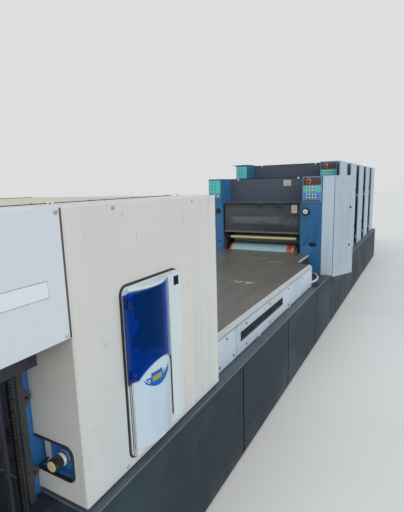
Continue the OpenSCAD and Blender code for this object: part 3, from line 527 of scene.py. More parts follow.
# A long bare plate lies on each side sheet, framed by a thin painted shadow line.
plate_white = painted("plate_white", (212, 219, 228), 0.32, (150, 150, 150), 0.3, 2e-5, 0.3, 0.1, 0.6,
                      (150, 152, 154))
plate_edge = painted("plate_edge", (118, 122, 128), 0.5, (90, 90, 90), 0.3)
for label, finish, grow, proud in (("bare_plate_edges", plate_edge, 0.0012, 0.0012),
                                   ("bare_plates", plate_white, 0, 0.0020)):
    plate = (-5.64 - grow, -4.952 + grow, COVER_Y - 0.0005, COVER_Y + proud, 1.357 - grow, 1.403 + grow)
    piece(label, blocks(plate, mirrored=True), finish, rounding=0.0004)
# The end of the delivery carries two grab handles.
soft_black = painted("soft_black", (30, 31, 34), 0.5, (84, 84, 82), 0.5, 4e-5, 0.3, 0.1, 0.4, (80, 80, 80))
bm = bmesh.new()
for y in (-0.42, 0.42):
    for shift in (-0.07, 0.07):
        turned(bm, [(0.007, 0), (0.007, 0.030)], (-5.9, y + shift, 1.44), DELIVERY, 12)
    bar = [(0, 0), (0.005, 0), (0.0075, 0.0025), (0.0075, 0.1515), (0.005, 0.154), (0, 0.154)]
    turned(bm, bar, (-5.930, y + 0.077, 1.44), OPERATOR, 14)
piece("end_handles", bm, soft_black)

# CUT-OUT WITH SETTING KNOB: a rubber-edged opening in the big cover's end face. Behind it a blue
# plate carries a knurled black knob with a silver collar and a brass-coloured cap.
rubber = painted("black_rubber", (32, 35, 40), 0.62, (80, 82, 82), 0.7, 5e-5, 0.5, 0.2, 0.4, (84, 86, 88))
formed("cutout_edging", rubber, 0.0015)
deep_blue = painted("plate_blue", (62, 122, 184), 0.35, (38, 78, 124), 1.0, 5e-5, 1.0, 0.5, 0.3,
                    (130, 160, 190))
coat(deep_blue, "knob_plate")
knob_black = painted("knob_black", (30, 32, 36), 0.42, (76, 76, 76), 0.5, 3e-5, 0.3, 0.1, 0.6,
                     (100, 100, 100))
# Painted reflection: the silver collar is painted near white for its bright shine.
collar_steel = two_tone("collar_steel", 0.1, 70, 0.65, (244, 246, 248), (206, 208, 208), 0.28)
cap_beige = painted("cap_beige", (206, 190, 152), 0.45, (136, 118, 84), 0.9, 3e-5, 0.5, 0.1, 0.4,
                    (228, 216, 186))
KNOB, GRIP_START, RIBS = (-4.8503, -0.700, 0.768), 0.034, 44


def tube(bm, path, radius, sides=16):
    """A round tube along points, closed at both ends."""
    rings = []
    for k, point in enumerate(path):
        forward = (path[min(k + 1, len(path) - 1)] - path[max(k - 1, 0)]).normalized()
        side = forward.cross(Vector(UP if abs(forward.z) < 0.9 else OPERATOR)).normalized()
        over = side.cross(forward)
        angles = [2 * math.pi * n / sides for n in range(sides)]
        rings.append([bm.verts.new(point + (side * math.cos(a) + over * math.sin(a)) * radius)
                      for a in angles])
    return skin(bm, rings)


def skin(bm, rings):
    """Faces between rings of points, closed at both ends."""
    for low, high in zip(rings, rings[1:]):
        for k in range(len(low)):
            bm.faces.new((low[k - 1], low[k], high[k], high[k - 1]))
    bm.faces.new(rings[0])
    bm.faces.new(rings[-1])
    return bm


collar = [(0.0055, -0.030), (0.0055, 0), (0.0120, 0), (0.0120, 0.0225), (0.0215, 0.0230), (0.0230, 0.0245),
          (0.0230, 0.0310), (0.0220, 0.0335), (0.0200, GRIP_START), (0, GRIP_START)]
piece("knob_collar", turned(bmesh.new(), collar, KNOB, DELIVERY, 40), collar_steel,
      "setting_knob")
bm, rings = bmesh.new(), []
for height, radius, groove in ((0, 0.0205, 0), (0.0015, 0.022, 0), (0.0030, 0.022, 0.0016),
                               (0.0305, 0.022, 0.0016),
                               (0.0323, 0.022, 0), (0.0340, 0.0205, 0)):
    ring = []
    for k in range(RIBS * 2):
        a, reach = math.pi * k / RIBS, radius - groove * (k % 2)
        ring.append(bm.verts.new((KNOB[0] - GRIP_START - height, KNOB[1] + reach * math.cos(a),
                                  KNOB[2] + reach * math.sin(a))))
    rings.append(ring)
piece("knob_grip", skin(bm, rings), knob_black, stands_for="setting_knob", smooth=20)
bm = turned(bmesh.new(), [(0.018, 0.0679), (0.018, 0.0697), (0.0165, 0.0710), (0, 0.0710)], KNOB, DELIVERY,
            32)
piece("knob_cap", bm, cap_beige, "setting_knob")
# A light bracket stands beside the plate, with a scale arc round the knob and a small black lever.
scale_white = painted("scale_white", (206, 204, 194), 0.45, (140, 132, 116), 0.8)
boss = [(0.0440, 0), (0.0440, 0.0075), (0.0425, 0.009), (0.0275, 0.009), (0.0275, 0.0150),
        (0.0268, 0.0158), (0, 0.0158)]
bm = turned(bmesh.new(), boss, KNOB, DELIVERY, 40)
piece("knob_boss", block(bm, -4.8740, -4.8500, -0.7600, -0.5850, 0.7052, 0.7066), deep_blue)
arc = [(KNOB[1] + r * math.cos(math.radians(a)), KNOB[2] + r * math.sin(math.radians(a)))
       for r, way_round in ((0.0266, 1), (0.0238, -1)) for a in range(64, 196, 8)[::way_round]]
bm = cut_out(bmesh.new(), arc, "X", -4.8668, -4.8659)
piece("knob_bracket", block(bm, -4.852, -4.842, -0.6145, -0.5885, 0.690, 0.842), scale_white)
lever = [Vector(p) for p in ((-4.846, -0.599, 0.722), (-4.878, -0.599, 0.720), (-4.8885, -0.604, 0.718),
                             (-4.8905, -0.628, 0.721), (-4.8905, -0.648, 0.724))]
piece("knob_lever", tube(bmesh.new(), lever, 0.0042, 10), knob_black)

# WINDOW UNIT: a white moulded housing with a rubber edging in the big cover. A crowned cover of
# blue clear plastic hinges at its near side over a pocket; below it a crowned white panel
# carries a small display and keys in a blue crescent.
white_plastic = painted("white_plastic", (198, 210, 213), 0.34, (160, 160, 152), 0.3, 1e-5, 0.25, 0.2, 0.3,
                        (222, 226, 228))
lower_white = painted("lower_white", (186, 206, 220), 0.3, (164, 172, 176), 0.3, 1e-5, 0.6, 0.2, 0.3,
                      (222, 226, 228))
formed("window_edging", rubber, 0.0015)
formed("window_frame", white_plastic)
formed("control_panel", lower_white, 0.0015)
blue_clear = Finish("blue_clear", {"Transmission Weight": 0.92, "IOR": 1.10, "Specular IOR Level": 0.25})
haze = blue_clear.cloud(7, 0.56, 0.66, (1, 1, 0.12), 5.0)
blue_clear.surface(blue_clear.mix(haze * 0.16, (0.006, 0.195, 0.70, 1), (0.08, 0.22, 0.62, 1)),
                   0.08 + haze * 0.10)
formed("blue_cover", blue_clear, 0.001)
groove = painted("groove_brown", (34, 33, 36), 0.6, (30, 28, 28), 0.4, specular=0.1)
beige = painted("beige_strip", (176, 174, 168), 0.5, (130, 122, 110), 0.7)
knuckle_black = painted("knuckle_black", (26, 28, 32), 0.35, (70, 70, 70), 0.3)
knuckle_blue = painted("knuckle_blue", (8, 40, 104), 0.4, (14, 30, 70), 0.4, specular=0.2)
knuckle = [(0.0035, 0.001), (0.0082, 0.0015), (0.0088, 0.003), (0.0088, 0.011), (0.0076, 0.0135),
           (0.0035, 0.014)]
sleeve = [(0.0103, -0.0103), (0.0107, -0.0098), (0.0107, -0.0006), (0.0103, 0.0001)]
for label, profile, moves_with in (("cover_knuckles", knuckle, "blue_cover"),
                                   ("knuckle_sleeves", sleeve, None)):
    bm = bmesh.new()
    for z in (0.982, 1.247):
        turned(bm, profile, (-4.6467, -0.833, z), UP, 24)
    piece(label, bm, knuckle_blue, moves_with)
# A fixed blue strip with two round screw caps covers the housing beside the hinge.
hinge_blue = painted("hinge_blue", (6, 46, 118), 0.4, (12, 34, 80), 0.4, 2e-5, 0.8, 0.3, specular=0.2)
strip = blocks((-4.6675, -4.6490, -0.8270, -0.8235, 0.955, 1.2865))
piece("hinge_cover", strip, hinge_blue, rounding=0.0012)
bm = blocks((-4.6500, -4.6470, -0.8262, -0.8240, 0.962, 1.248))
for z in (0.972, 1.260):
    cap = [(0.0078, 0), (0.0078, 0.0035), (0.0064, 0.0048), (0.0030, 0.0050), (0.0026, 0.0034), (0, 0.0034)]
    turned(bm, cap, (-4.6560, -0.8270, z), OPERATOR, 20)
piece("hinge_caps", bm, knuckle_black)
line = [(-4.662, 1.2990), (-4.360, 1.3058), (-4.360, 1.3078), (-4.662, 1.3012)]
piece("housing_line", cut_out(bmesh.new(), line, "Y", -0.8249, -0.8238), beige)
CROWN, CROWN_R, CRESCENT_X = (-4.5207, -0.6535), 0.2065, -4.5275


def on_crown(x):
    return CROWN[1] - math.sqrt(CROWN_R ** 2 - (x - CROWN[0]) ** 2)


def inlay(bm, low, high, x0, x1, proud=0.0007, columns=24):
    """A thin layer on the crowned panel between two edges, given as heights for each X."""
    rows = []
    for x in (x0 + (x1 - x0) * k / columns for k in range(columns + 1)):
        y, bottom, top_edge = on_crown(x), low(x), max(high(x), low(x) + 0.0004)
        outline = ((y - proud, bottom), (y - proud, top_edge), (y + 0.0004, top_edge), (y + 0.0004, bottom))
        rows.append([bm.verts.new((x, *point)) for point in outline])
    return skin(bm, rows)


def crescent_foot(x):
    away = abs(x - CRESCENT_X)
    return 0.907 + 5.6 * away ** 2 + 9e3 * max(away - 0.07, 0) ** 3


crescent_blue = painted("crescent_blue", (4, 94, 176), 0.4, (30, 90, 150), 0.3, 1e-5, 0.2, specular=0.2)
key_blue = painted("key_blue", (14, 62, 140), 0.35, (30, 60, 110), 0.3, 1e-5, 0.2)
panel_white = painted("panel_white", (214, 226, 232), 0.35, (160, 160, 160), 0.3, 1e-5, 0.2)
display_green = painted("display_green", (142, 150, 56), 0.25, (110, 118, 50), 0.2, 1e-5, 0.2)
bm = inlay(bmesh.new(), crescent_foot, lambda x: 0.9535 + 0.03 * (x - CRESCENT_X), CRESCENT_X - 0.079,
           CRESCENT_X + 0.079)
inlay(bm, lambda x: 0.953, lambda x: 0.9675, -4.5715, -4.5100, columns=12)
piece("crescent", bm, crescent_blue, smooth=60)
bm = inlay(bmesh.new(), lambda x: 0.9325, lambda x: 0.9535, -4.5665, -4.5135, 0.0012, 10)
piece("display", bm, display_green, smooth=60)
places = []
for x, z in ((-4.5995, 0.9455), (-4.5830, 0.9385), (-4.4965, 0.9470), (-4.4815, 0.9515), (-4.4665, 0.9570)):
    normal = Vector((x - CROWN[0], on_crown(x) - CROWN[1], 0)).normalized()
    places.append(((x, on_crown(x) - 0.0006, z), tuple(normal), UP))
ring = turned_shape([(6.0, -0.5), (6.0, 0.5), (5.2, 0.9), (3.9, 0.9), (3.5, 0.5), (0, 0.5)], 20)
set_out("panel_keys", ring, places, panel_white, 0.00115)
dot = turned_shape([(3.6, 0), (3.6, 1.2), (2.8, 1.6), (0, 1.6)], 16)
set_out("panel_key_centres", dot, places, key_blue, 0.00105)
# Beside the hinge the housing is grooved; the pocket behind the cover has a dark lining that
# holds folded work sheets, seen dimly through the blue.
grooves = [(x, x + 0.0022, -0.8195, -0.8175, z, 0.953) for x, z in ((-4.6552, 0.668), (-4.6462, 0.688))]
piece("hinge_grooves", blocks(*grooves), groove)
piece("hinge_strip", blocks((-4.6528, -4.6408, -0.8190, -0.8175, 0.664, 0.953)), beige)
lining = painted("pocket_lining", (84, 60, 92), 0.6, (54, 34, 72), 0.9, 2e-5, 1.0, 0.9)
lining.over(lining.cloud(9, 0.46, 0.56, (1, 1, 0.4), 4.0, 3.0) * 0.7, (30, 26, 44))
bm = blocks((-4.5540, -4.4155, -0.7345, -0.7225, 0.984, 1.2705),
            (-4.4250, -4.4155, -0.815, -0.7345, 1.00, 1.2705))
piece("pocket_lining", bm, lining, rounding=0.001)
sheet_grey = painted("work_sheets", (148, 154, 176), 0.7, (100, 108, 132), 0.6)
bm = blocks((-4.568, -4.524, -0.752, -0.7485, 1.125, 1.240), (-4.570, -4.500, -0.7440, -0.7410, 0.985, 1.030))
cut_out(bm, [(-4.568, 1.060), (-4.496, 1.105), (-4.496, 1.140), (-4.568, 1.128)], "Y", -0.7475, -0.7445)
piece("work_sheets", bm, sheet_grey)
label_dark = painted("label_dark", (12, 18, 40), 0.5, (50, 56, 70), 0.2, specular=0.1)
label = blocks((-4.3580, -4.3220, -0.8286, -0.8278, 1.250, 1.288))
piece("side_label", label, label_dark, rounding=0.0002)
piece("side_groove", blocks((-4.4010, -4.3952, -0.8262, -0.8230, 0.700, 0.960)), groove)

# TABLE: the walk-on cover over the delivery chain track, scuffed dark by shoes, with a light
# sloping border, white side sheets with a long slot, and a narrower end at the coater.
table_paint = painted("table_paint", (100, 96, 88), 0.34, (66, 62, 56), 0.9, 12e-5, 1.0, 0.0, 0.6,
                      (140, 134, 124))
table_paint.over(table_paint.cloud(3.0, 0.42, 0.7, (0.5, 3.0, 1), 6.0, 51.0) * 0.55, (72, 72, 74))
table_paint.over(table_paint.cloud(5.0, 0.50, 0.68, (0.25, 2.6, 1), 6.0, 61.0) * 0.35, (110, 105, 95))
table_paint.over(table_paint.cloud(14, 0.66, 0.70, (0.3, 2.4, 1), 5.0, 41.0) * 0.4, (150, 147, 140))
for mid_x, mid_y, reach_x, reach_y in ((-2.69, -0.41, 0.045, 0.12), (-1.78, -0.38, 0.03, 0.09),
                                       (-1.60, -0.14, 0.03, 0.10)):
    across = table_paint.ramp(abs(table_paint.part("Y") - mid_y), reach_y, reach_y * 0.5)
    ahead = table_paint.ramp(abs(table_paint.part("X") - mid_x), reach_x, reach_x * 0.4)
    bare_spots = table_paint.cloud(70, 0.52, 0.56, (1, 0.5, 1), 3.0, 9.0)
    table_paint.over(across * ahead * bare_spots, (186, 182, 172))
side_white = painted("side_white", (186, 199, 212), 0.4, (120, 124, 126), 0.7, 4e-5, 0.4, 0.35, 0.4,
                     (206, 210, 212))
side_white.over(side_white.cloud(2.2, 0.45, 0.60, (1, 1, 1.5), 5.0, 7.0) * 0.5, (160, 176, 190))
border_paint = painted("border_paint", (178, 182, 183), 0.5, (104, 98, 90), 1.0, 6e-5, 0.8, 0.3, 0.8,
                       (92, 90, 84))
formed("table_body", dark_frame)
formed("table_top", table_paint)
formed("table_sides", side_white, 0.0015)
formed("table_trim", border_paint, 0.0012)
piece("slot_floor", blocks((-3.5448, -2.7252, 0.7575, 0.7590, 0.7052, 0.7468), mirrored=True), gap_dark)
piece("slot_ridge", blocks((-3.5445, -2.7255, 0.7580, 0.7640, 0.7235, 0.7275), mirrored=True), fold_light)


def rounded(a0, a1, b0, b1, r, steps=5):
    """Outline of a rectangle with round corners."""
    path = []
    for mid_a, mid_b, start in ((a1 - r, b1 - r, 0), (a0 + r, b1 - r, 90), (a0 + r, b0 + r, 180),
                                (a1 - r, b0 + r, 270)):
        for turn_by in (math.radians(start + 90 * k / steps) for k in range(steps + 1)):
            path.append((mid_a + r * math.cos(turn_by), mid_b + r * math.sin(turn_by)))
    return path


slot = rounded(-3.5445, -2.7255, 0.7055, 0.7465, 0.003, 3)
bm = bmesh.new()
for side in SIDES:
    cut_out(bm, rounded(-3.5535, -2.7165, 0.6915, 0.7535, 0.004, 3), "Y",
            *sorted((side * 0.7600, side * 0.7692)), slot)
piece("slot_rims", bm, soft_black, rounding=0.0006)
piece("border_lines", blocks((-3.937, -1.768, 0.7640, 0.7692, 0.8085, 0.8125), mirrored=True), seam_brown)
# A narrow plate carries the table up to the coater's cylinder.
lip = blocks((-1.2185, -1.1520, -0.486, 0.486, 0.8295, 0.8350))
piece("table_lip", lip, table_paint, rounding=0.0015)
points = [(-3.752, 0.783), (-3.664, 0.650), (-3.847, 0.648)]
points += [(x, z) for x in (-3.462, -3.02, -2.56, -2.14, -1.82) for z in (0.645, 0.783)]
set_out("table_screws", socket_screw, on_sides(points, 0.768), dark_screws, 0.0052)
# A black elbow closes the table's end, and a rubber pad lies on the platform beside it.
bm = bmesh.new()
for side in SIDES:
    elbow = [(0.024, 0), (0.024, 0.010), (0.020, 0.026), (0.012, 0.031), (0, 0.031)]
    turned(bm, elbow, (-1.769, side * 0.735, 0.765), ALONG, 20)
piece("end_elbows", bm, soft_black)
pad = blocks((-1.752, -1.630, -0.822, -0.775, 0.6095, 0.620))
piece("platform_pad", pad, soft_black, rounding=0.003)

# DRAIN HOSE: a clear ribless plastic hose from the coater's column to the table's end, lying on
# the platform in one arc, with a clamp ring at each end.
HOSE_MID, HOSE_BEND, HOSE_DIAMETER = (-1.520, -0.297, 0.6223), 0.461, 0.024
hose_plastic = painted("hose_plastic", (196, 200, 198), 0.3, (120, 118, 108), 0.8, 2e-5, 0.4, coat=0.3)
start, stop = -math.acos(307.7 / 473), -math.acos(-248.7 / 473)
bend = [Vector((HOSE_MID[0] + HOSE_BEND * math.cos(a), HOSE_MID[1] + HOSE_BEND * math.sin(a), HOSE_MID[2]))
        for a in (start + (stop - start) * k / 28 for k in range(29))]
hose = piece("hose", tube(bmesh.new(), bend, HOSE_DIAMETER / 2), hose_plastic,
             stands_for="drain_hose")
bm = bmesh.new()
for end, nxt in ((bend[0], bend[1]), (bend[-1], bend[-2])):
    forward = (nxt - end).normalized()
    turned(bm, [(0.0121, 0), (0.0138, 0.001), (0.0138, 0.014), (0.0121, 0.015)], end + forward * 0.016,
           forward, 20)
clamps = piece("hose_clamps", bm, dark_screws)

# UNITS: the coater and five printing units. Cast side frames stand behind blue sheet columns,
# with keypad boxes on top and dark textured hoods between them.
UNIT_X = [-1.212 + 0.855 * k for k in range(6)]
UNIT_TOP = [1.714] + [1.906] * 5
column_blue = painted("column_blue", (47, 110, 158), 0.4, (28, 50, 76), 0.6, 6e-5, 0.6, 0.4, 0.4,
                      (110, 130, 150))
box_blue = painted("box_blue", (45, 104, 148), 0.45, (28, 50, 76), 0.6, 6e-5, 0.6, 0.3, 0.6, (110, 130, 150))
hood_grey = painted("hood_grey", (77, 88, 101), 0.6, (104, 106, 106), 0.5, 12e-5, 0.5, 0.15, 0.5,
                    (118, 120, 122))
door_grey = painted("door_grey", (162, 179, 192), 0.48, (128, 132, 130), 0.6, 8e-5, 0.5, 0.45, 0.4,
                    (196, 202, 206))
door_grey.over(door_grey.cloud(30, 0.70, 0.75, (1, 1, 0.5), 2.0, 31.0) * 0.5, (104, 104, 98))
guard_dark = painted("guard_dark", (78, 83, 89), 0.5, (82, 80, 76), 0.5)
casting_grey = painted("casting_grey", (78, 82, 88), 0.5, (52, 50, 48), 0.8)
coat(casting_grey, "unit_frames")
formed("front_columns", column_blue)
formed("switch_boxes", box_blue, 0.003)
formed("coater_hood", hood_grey, 0.003)
formed("unit_hoods", hood_grey, 0.003)
coat(guard_dark, "front_guards")
formed("drive_covers", door_grey)
lid_dark = painted("lid_dark", (40, 48, 60), 0.5, (80, 80, 78), 0.6)
lids = [(x - 0.0085, x + 0.2845, 0.5025, 0.7225, 1.9057, 1.9145) for x in UNIT_X[1:]]
bm = blocks(*lids, (-1.2145, -0.9335, 0.5095, 0.6835, 1.7125, 1.7165))
piece("box_lids", bm, lid_dark, rounding=0.0015)
# The hoods' folded top edges are dark. A dark strip on the ledge in front is a painted shadow under
# the hood, and a dark lip with room for the guard's handles edges it as a painted shadow line.
LIP_GAPS = ((-0.269, -0.185), (-0.042, 0.042))
edges, lips = [], []
for x, z in zip(UNIT_X, UNIT_TOP):
    edges.append((x + 0.2835, x + 0.292, -0.500, 0.500, z - 0.0045, z + 0.0009))
    edges.append((x + 0.030, x + 0.284, -0.484, 0.484, 1.4155, 1.4172))
    lips += [(x + 0.0233, x + 0.030, y0, y1, 1.4050, 1.4285) for y0,
             y1 in ((-0.484, -0.268), (-0.186, -0.041), (0.041, 0.484))]
    lips += [(x + 0.0340, x + 0.040, y0, y1, 1.4155, 1.4285) for y0, y1 in LIP_GAPS]
piece("hood_edges", blocks(*edges), gap_dark, rounding=0.0004)
piece("hood_lips", blocks(*lips), lid_dark, rounding=0.0004)
# Two light drop-shaped rubber buffers sit on each hood's front edge.
buffer_white = painted("buffer_white", (214, 214, 208), 0.5, (150, 146, 136), 0.6)
bm = bmesh.new()
for x, z in zip(UNIT_X, UNIT_TOP):
    for y in (-0.381, 0.399):
        drop = ((-0.013, 0.0005), (0.013, 0.0005), (0.012, -0.012), (0.004, -0.026), (-0.004, -0.026),
                (-0.012, -0.012))
        cut_out(bm, [(y + across, z + rise) for across, rise in drop], "X", x + 0.279, x + 0.291)
piece("hood_buffers", bm, buffer_white, rounding=0.002)
paper = painted("paper_label", (204, 202, 192), 0.7, (150, 146, 134), 0.9, 2e-5, 0.8, 0.2)
grey_lines = painted("grey_lines", (150, 148, 142), 0.7, (120, 118, 112), 0.5)
piece("hood_label", blocks((-0.9282, -0.9268, -0.294, -0.201, 1.613, 1.683)), paper)
lines = [(-0.9286, -0.9280, -0.284, -0.211 - 0.018 * (k % 2), 1.6665 - 0.0135 * k, 1.6700 - 0.0135 * k)
         for k in range(4)]
piece("hood_label_lines", blocks(*lines), grey_lines)

# KEY PLATES: moulded fields in a light frame on each box front, with an emergency stop on its
# yellow ring, a start button, and rows of round lit keys. The drive side has a smaller plate.
key_frame = painted("key_frame", (142, 168, 190), 0.45, (60, 74, 92), 0.5)
field_dark = painted("field_dark", (74, 70, 80), 0.5, (90, 86, 84), 0.6)
field_green = painted("field_turquoise", (84, 204, 196), 0.45, (90, 140, 136), 0.5, 3e-5, 0.3, 0.3)
field_blue = painted("field_blue", (78, 140, 212), 0.45, (60, 96, 150), 0.5, 3e-5, 0.3)
field_grey = painted("field_grey", (78, 92, 108), 0.5, (50, 60, 70), 0.6)
key_white = painted("key_white", (242, 243, 244), 0.3, (190, 190, 188), 0.3)
collar_black = painted("collar_black", (10, 12, 16), 0.5, (40, 40, 40), 0.3, specular=0.2)
key_lit = two_tone("key_lit", 0.0, 60, 0.7, (250, 160, 92), (255, 196, 140), 0.35)
key_lit.feed(key_lit.shader["Emission Strength"], 0.35)
key_lit.feed(key_lit.shader["Emission Color"], shade(255, 150, 70))
stop_yellow = painted("stop_yellow", (222, 172, 34), 0.45, (150, 116, 40), 0.5)
stop_red = painted("stop_red", (164, 26, 50), 0.35, (110, 30, 30), 0.5)
key_orange = painted("key_orange", (224, 154, 50), 0.4, (170, 120, 50), 0.4)
start_red = painted("start_red", (150, 34, 52), 0.4, (90, 30, 40), 0.5)
STOP_RING = [(0.0275, 0.004), (0.0275, 0.0145), (0.0262, 0.0158), (0.018, 0.0158)]
STOP_HEAD = [(0.012, 0.0145), (0.012, 0.022), (0.0200, 0.025), (0.0205, 0.031), (0.017, 0.0365),
             (0.009, 0.0385), (0, 0.039)]
START = [(0.0155, 0.004), (0.0155, 0.009), (0.0125, 0.011), (0.0120, 0.0130), (0.009, 0.0145), (0, 0.0150)]
fields = {name: bmesh.new() for name in ("frame", "dark", "green", "blue", "grey", "drive_green")}
keys, lit_keys, small_keys, square_keys = [], [], [], []
stops, stop_heads, starts = bmesh.new(), bmesh.new(), bmesh.new()
for n, (x, z) in enumerate(zip(UNIT_X, UNIT_TOP)):
    for y0, y1, low, high in ((-0.7195, -0.5125, 0.2865, 0.0075), (0.519, 0.674, 0.2325, 0.0135)):
        cut_out(fields["frame"], rounded(y0, y1, z - low, z - high, 0.006), "X", x - 0.0046, x + 0.001)
    for name, y0, y1, low, high in (
            ("dark", -0.7135, -0.5185, 0.098, 0.014), ("green", -0.7135, -0.5185, 0.178, 0.101),
            ("blue", -0.7135, -0.5185, 0.256, 0.181), ("grey", -0.7135, -0.5185, 0.281, 0.260),
            ("drive_green", 0.524, 0.669, 0.172, 0.020), ("blue", 0.524, 0.669, 0.228, 0.174)):
        cut_out(fields[name], rounded(y0, y1, z - low, z - high, 0.003, 3), "X", x - 0.0058, x - 0.004)
    turned(stops, STOP_RING, (x, -0.579, z - 0.055), DELIVERY, 32)
    turned(stop_heads, STOP_HEAD, (x, -0.579, z - 0.055), DELIVERY, 32)
    turned(starts, START, (x, -0.662, z - 0.052), DELIVERY, 28)
    for row, drop in enumerate((0.120, 0.154, 0.199, 0.232)):
        for column, y in enumerate((-0.559, -0.592, -0.625, -0.658)):
            lit = n == 0 and (row, column) in ((0, 0), (1, 3))
            (lit_keys if lit else keys).append(((x - 0.0056, y, z - drop), DELIVERY, UP))
    square_keys.append((x - 0.0085, x - 0.005, 0.584, 0.612, z - 0.212, z - 0.184))
    keys += [((x - 0.0056, y, z - drop), DELIVERY, UP) for y,
             drop in ((0.552, 0.192), (0.552, 0.214), (0.640, 0.203))]
    small_keys += [((x - 0.0056, y, z - drop), DELIVERY, UP) for drop in (0.050, 0.086, 0.122)
                   for y in (0.585, 0.630)]
piece("key_frames", fields["frame"], key_frame, stands_for="keypads", rounding=0.0012)
for name, finish in (("dark", field_dark), ("green", field_green), ("blue", field_blue),
                     ("grey", field_grey), ("drive_green", field_green)):
    piece("key_field_" + name, fields[name], finish)
piece("stop_rings", stops, stop_yellow)
piece("stop_heads", stop_heads, stop_red)
piece("start_buttons", starts, start_red)
piece("drive_square_keys", blocks(*square_keys), key_orange, rounding=0.001)
collar = turned_shape([(12.6, 0), (12.6, 1.6), (11.8, 2.4), (9.8, 2.4), (9.6, 1.0), (0, 1.0)], 18)
key = turned_shape([(9.4, 0.9), (9.4, 3.4), (8.4, 4.2), (0, 4.6)], 16)
set_out("key_collars", collar, keys + lit_keys, collar_black, MILLIMETRE)
set_out("round_keys", key, keys, key_white, MILLIMETRE)
set_out("lit_keys", key, lit_keys, key_lit, MILLIMETRE)
set_out("drive_keys", key, small_keys, field_dark, 0.7 * MILLIMETRE)

# COLUMN FITTINGS: a black dial knob with a white face in the coater's operator-side column, a round
# lock and an oval pull grip in both columns of each unit, and a black setting knob on the coater's drive
# side.
DIAL, DIAL_TICK = (-1.212, -0.554, 1.324), 0.0005
frame_grey = painted("frame_grey", (72, 75, 80), 0.45, (96, 94, 90), 0.6, 4e-5, 0.4, 0.2, 0.5,
                     (130, 130, 128))
gauge_white = painted("gauge_white", (238, 240, 238), 0.35, (160, 160, 156), 0.3)
case = [(0.044, 0), (0.044, 0.010), (0.041, 0.014), (0.036, 0.030), (0.033, 0.033), (0.0275, 0.033),
        (0.0270, 0.0305), (0, 0.0305)]
drive_knob = [(0.032, 0), (0.032, 0.008), (0.024, 0.0085), (0.023, 0.036), (0.020, 0.040), (0, 0.040)]
bm = turned(bmesh.new(), case, DIAL, DELIVERY, 48)
turned(bm, drive_knob, (DIAL[0], -DIAL[1], DIAL[2]), DELIVERY, 32)
piece("dial_case", bm, soft_black, stands_for="column_gauges")
bm = turned(bmesh.new(), [(0.0268, 0.0302), (0.0268, 0.0318), (0.0255, 0.0324), (0, 0.0324)], DIAL,
            DELIVERY, 40)
piece("dial_face", bm, gauge_white)
bm = turned(bmesh.new(), [(0.0085, 0.0322), (0.0085, 0.0340), (0.0070, 0.0350), (0, 0.0350)], DIAL,
            DELIVERY, 20)
for a in (math.radians(30 * k) for k in range(12)):
    ticks = [(DIAL[1] + r * math.cos(a) + t * math.sin(a), DIAL[2] + r * math.sin(a) - t * math.cos(a))
             for r, t in ((0.0215, -DIAL_TICK), (0.0215, DIAL_TICK), (0.0250, DIAL_TICK),
                          (0.0250, -DIAL_TICK))]
    cut_out(bm, ticks, "X", -1.2448, -1.2443)
piece("dial_centre", bm, frame_grey)
COLUMN_LOCK = [(0.0086, 0), (0.0086, 0.0105), (0.0105, 0.0112), (0.0105, 0.0128), (0.0085, 0.0138),
               (0.004, 0.0138),
               (0.0036, 0.0115), (0, 0.0115)]
locks, grips, grip_floors = bmesh.new(), bmesh.new(), bmesh.new()
for x in UNIT_X:
    for side in SIDES:
        turned(locks, COLUMN_LOCK, (x + 0.0108, side * 0.539, 0.945), DELIVERY, 22)
        a0, a1 = sorted((side * 0.596, side * 0.674))
        inside = rounded(a0 + 0.003, a1 - 0.003, 0.933, 0.965, 0.0152, 7)
        cut_out(grips, rounded(a0 - 0.003, a1 + 0.003, 0.927, 0.971, 0.0208, 7), "X", x - 0.0022,
                x + 0.002, inside)
        cut_out(grip_floors, rounded(a0 + 0.0005, a1 - 0.0005, 0.9305, 0.9675, 0.0175, 7), "X", x + 0.0095,
                x + 0.0108)
piece("column_locks", locks, soft_black)
piece("column_grips", grips, soft_black)
piece("grip_floors", grip_floors, rubber)

# COATER: a blanket cylinder with its form and metering rollers behind a smoked guard that
# hinges at its upper edge. Above the rollers lie a steel chamber and a feed pipe.
GUARD_HINGE = (-1.172, 1.392)
lip_grey = painted("lip_grey", (112, 112, 110), 0.4, (80, 78, 74), 0.7)
pane_hole = rounded(-0.462, 0.462, 1.083, 1.366, 0.010, 4)
bm = cut_out(bmesh.new(), rounded(-0.482, 0.482, 1.065, 1.400, 0.006, 4), "X", -1.178, -1.166, pane_hole)
for side in SIDES:
    turned(bm, [(0.006, 0), (0.006, 0.030)], (GUARD_HINGE[0], side * 0.482, GUARD_HINGE[1]), (0, side, 0), 16)
guard_grey = painted("guard_grey", (64, 69, 75), 0.5, (90, 88, 84), 0.6)
piece("guard_frame", bm, guard_grey, stands_for="coater_guard", rounding=0.0015)
bm = cut_out(bmesh.new(), rounded(-0.482, 0.482, 1.059, 1.075, 0.003, 3), "X", -1.186, -1.166)
piece("guard_lip", bm, lip_grey, "coater_guard", rounding=0.0015)
smoked = Finish("smoked_clear", {"Coat Weight": 0.1, "Coat Roughness": 0.1})
smears = smoked.cloud(4.5, 0.45, 0.70, (1, 0.5, 2.6), 6.0)
band = smoked.ramp(abs(smoked.part("Z") - 1.215), 0.055, 0.030) * smoked.cloud(3.5, 0.36, 0.50, detail=3.0,
    shift=4.0)
upper = smoked.ramp(smoked.part("Z"), 1.240, 1.330)
tone = smoked.mix(upper * 0.55, shade(60, 66, 73), shade(94, 99, 102))
tone = smoked.mix(smears * 0.45, tone, shade(98, 101, 105))
smoked.surface(smoked.mix(band * 0.75, tone, shade(118, 120, 122)), 0.2 + smears * 0.2)
smoked.feed(smoked.shader["Alpha"], 0.74 + smears * 0.1)
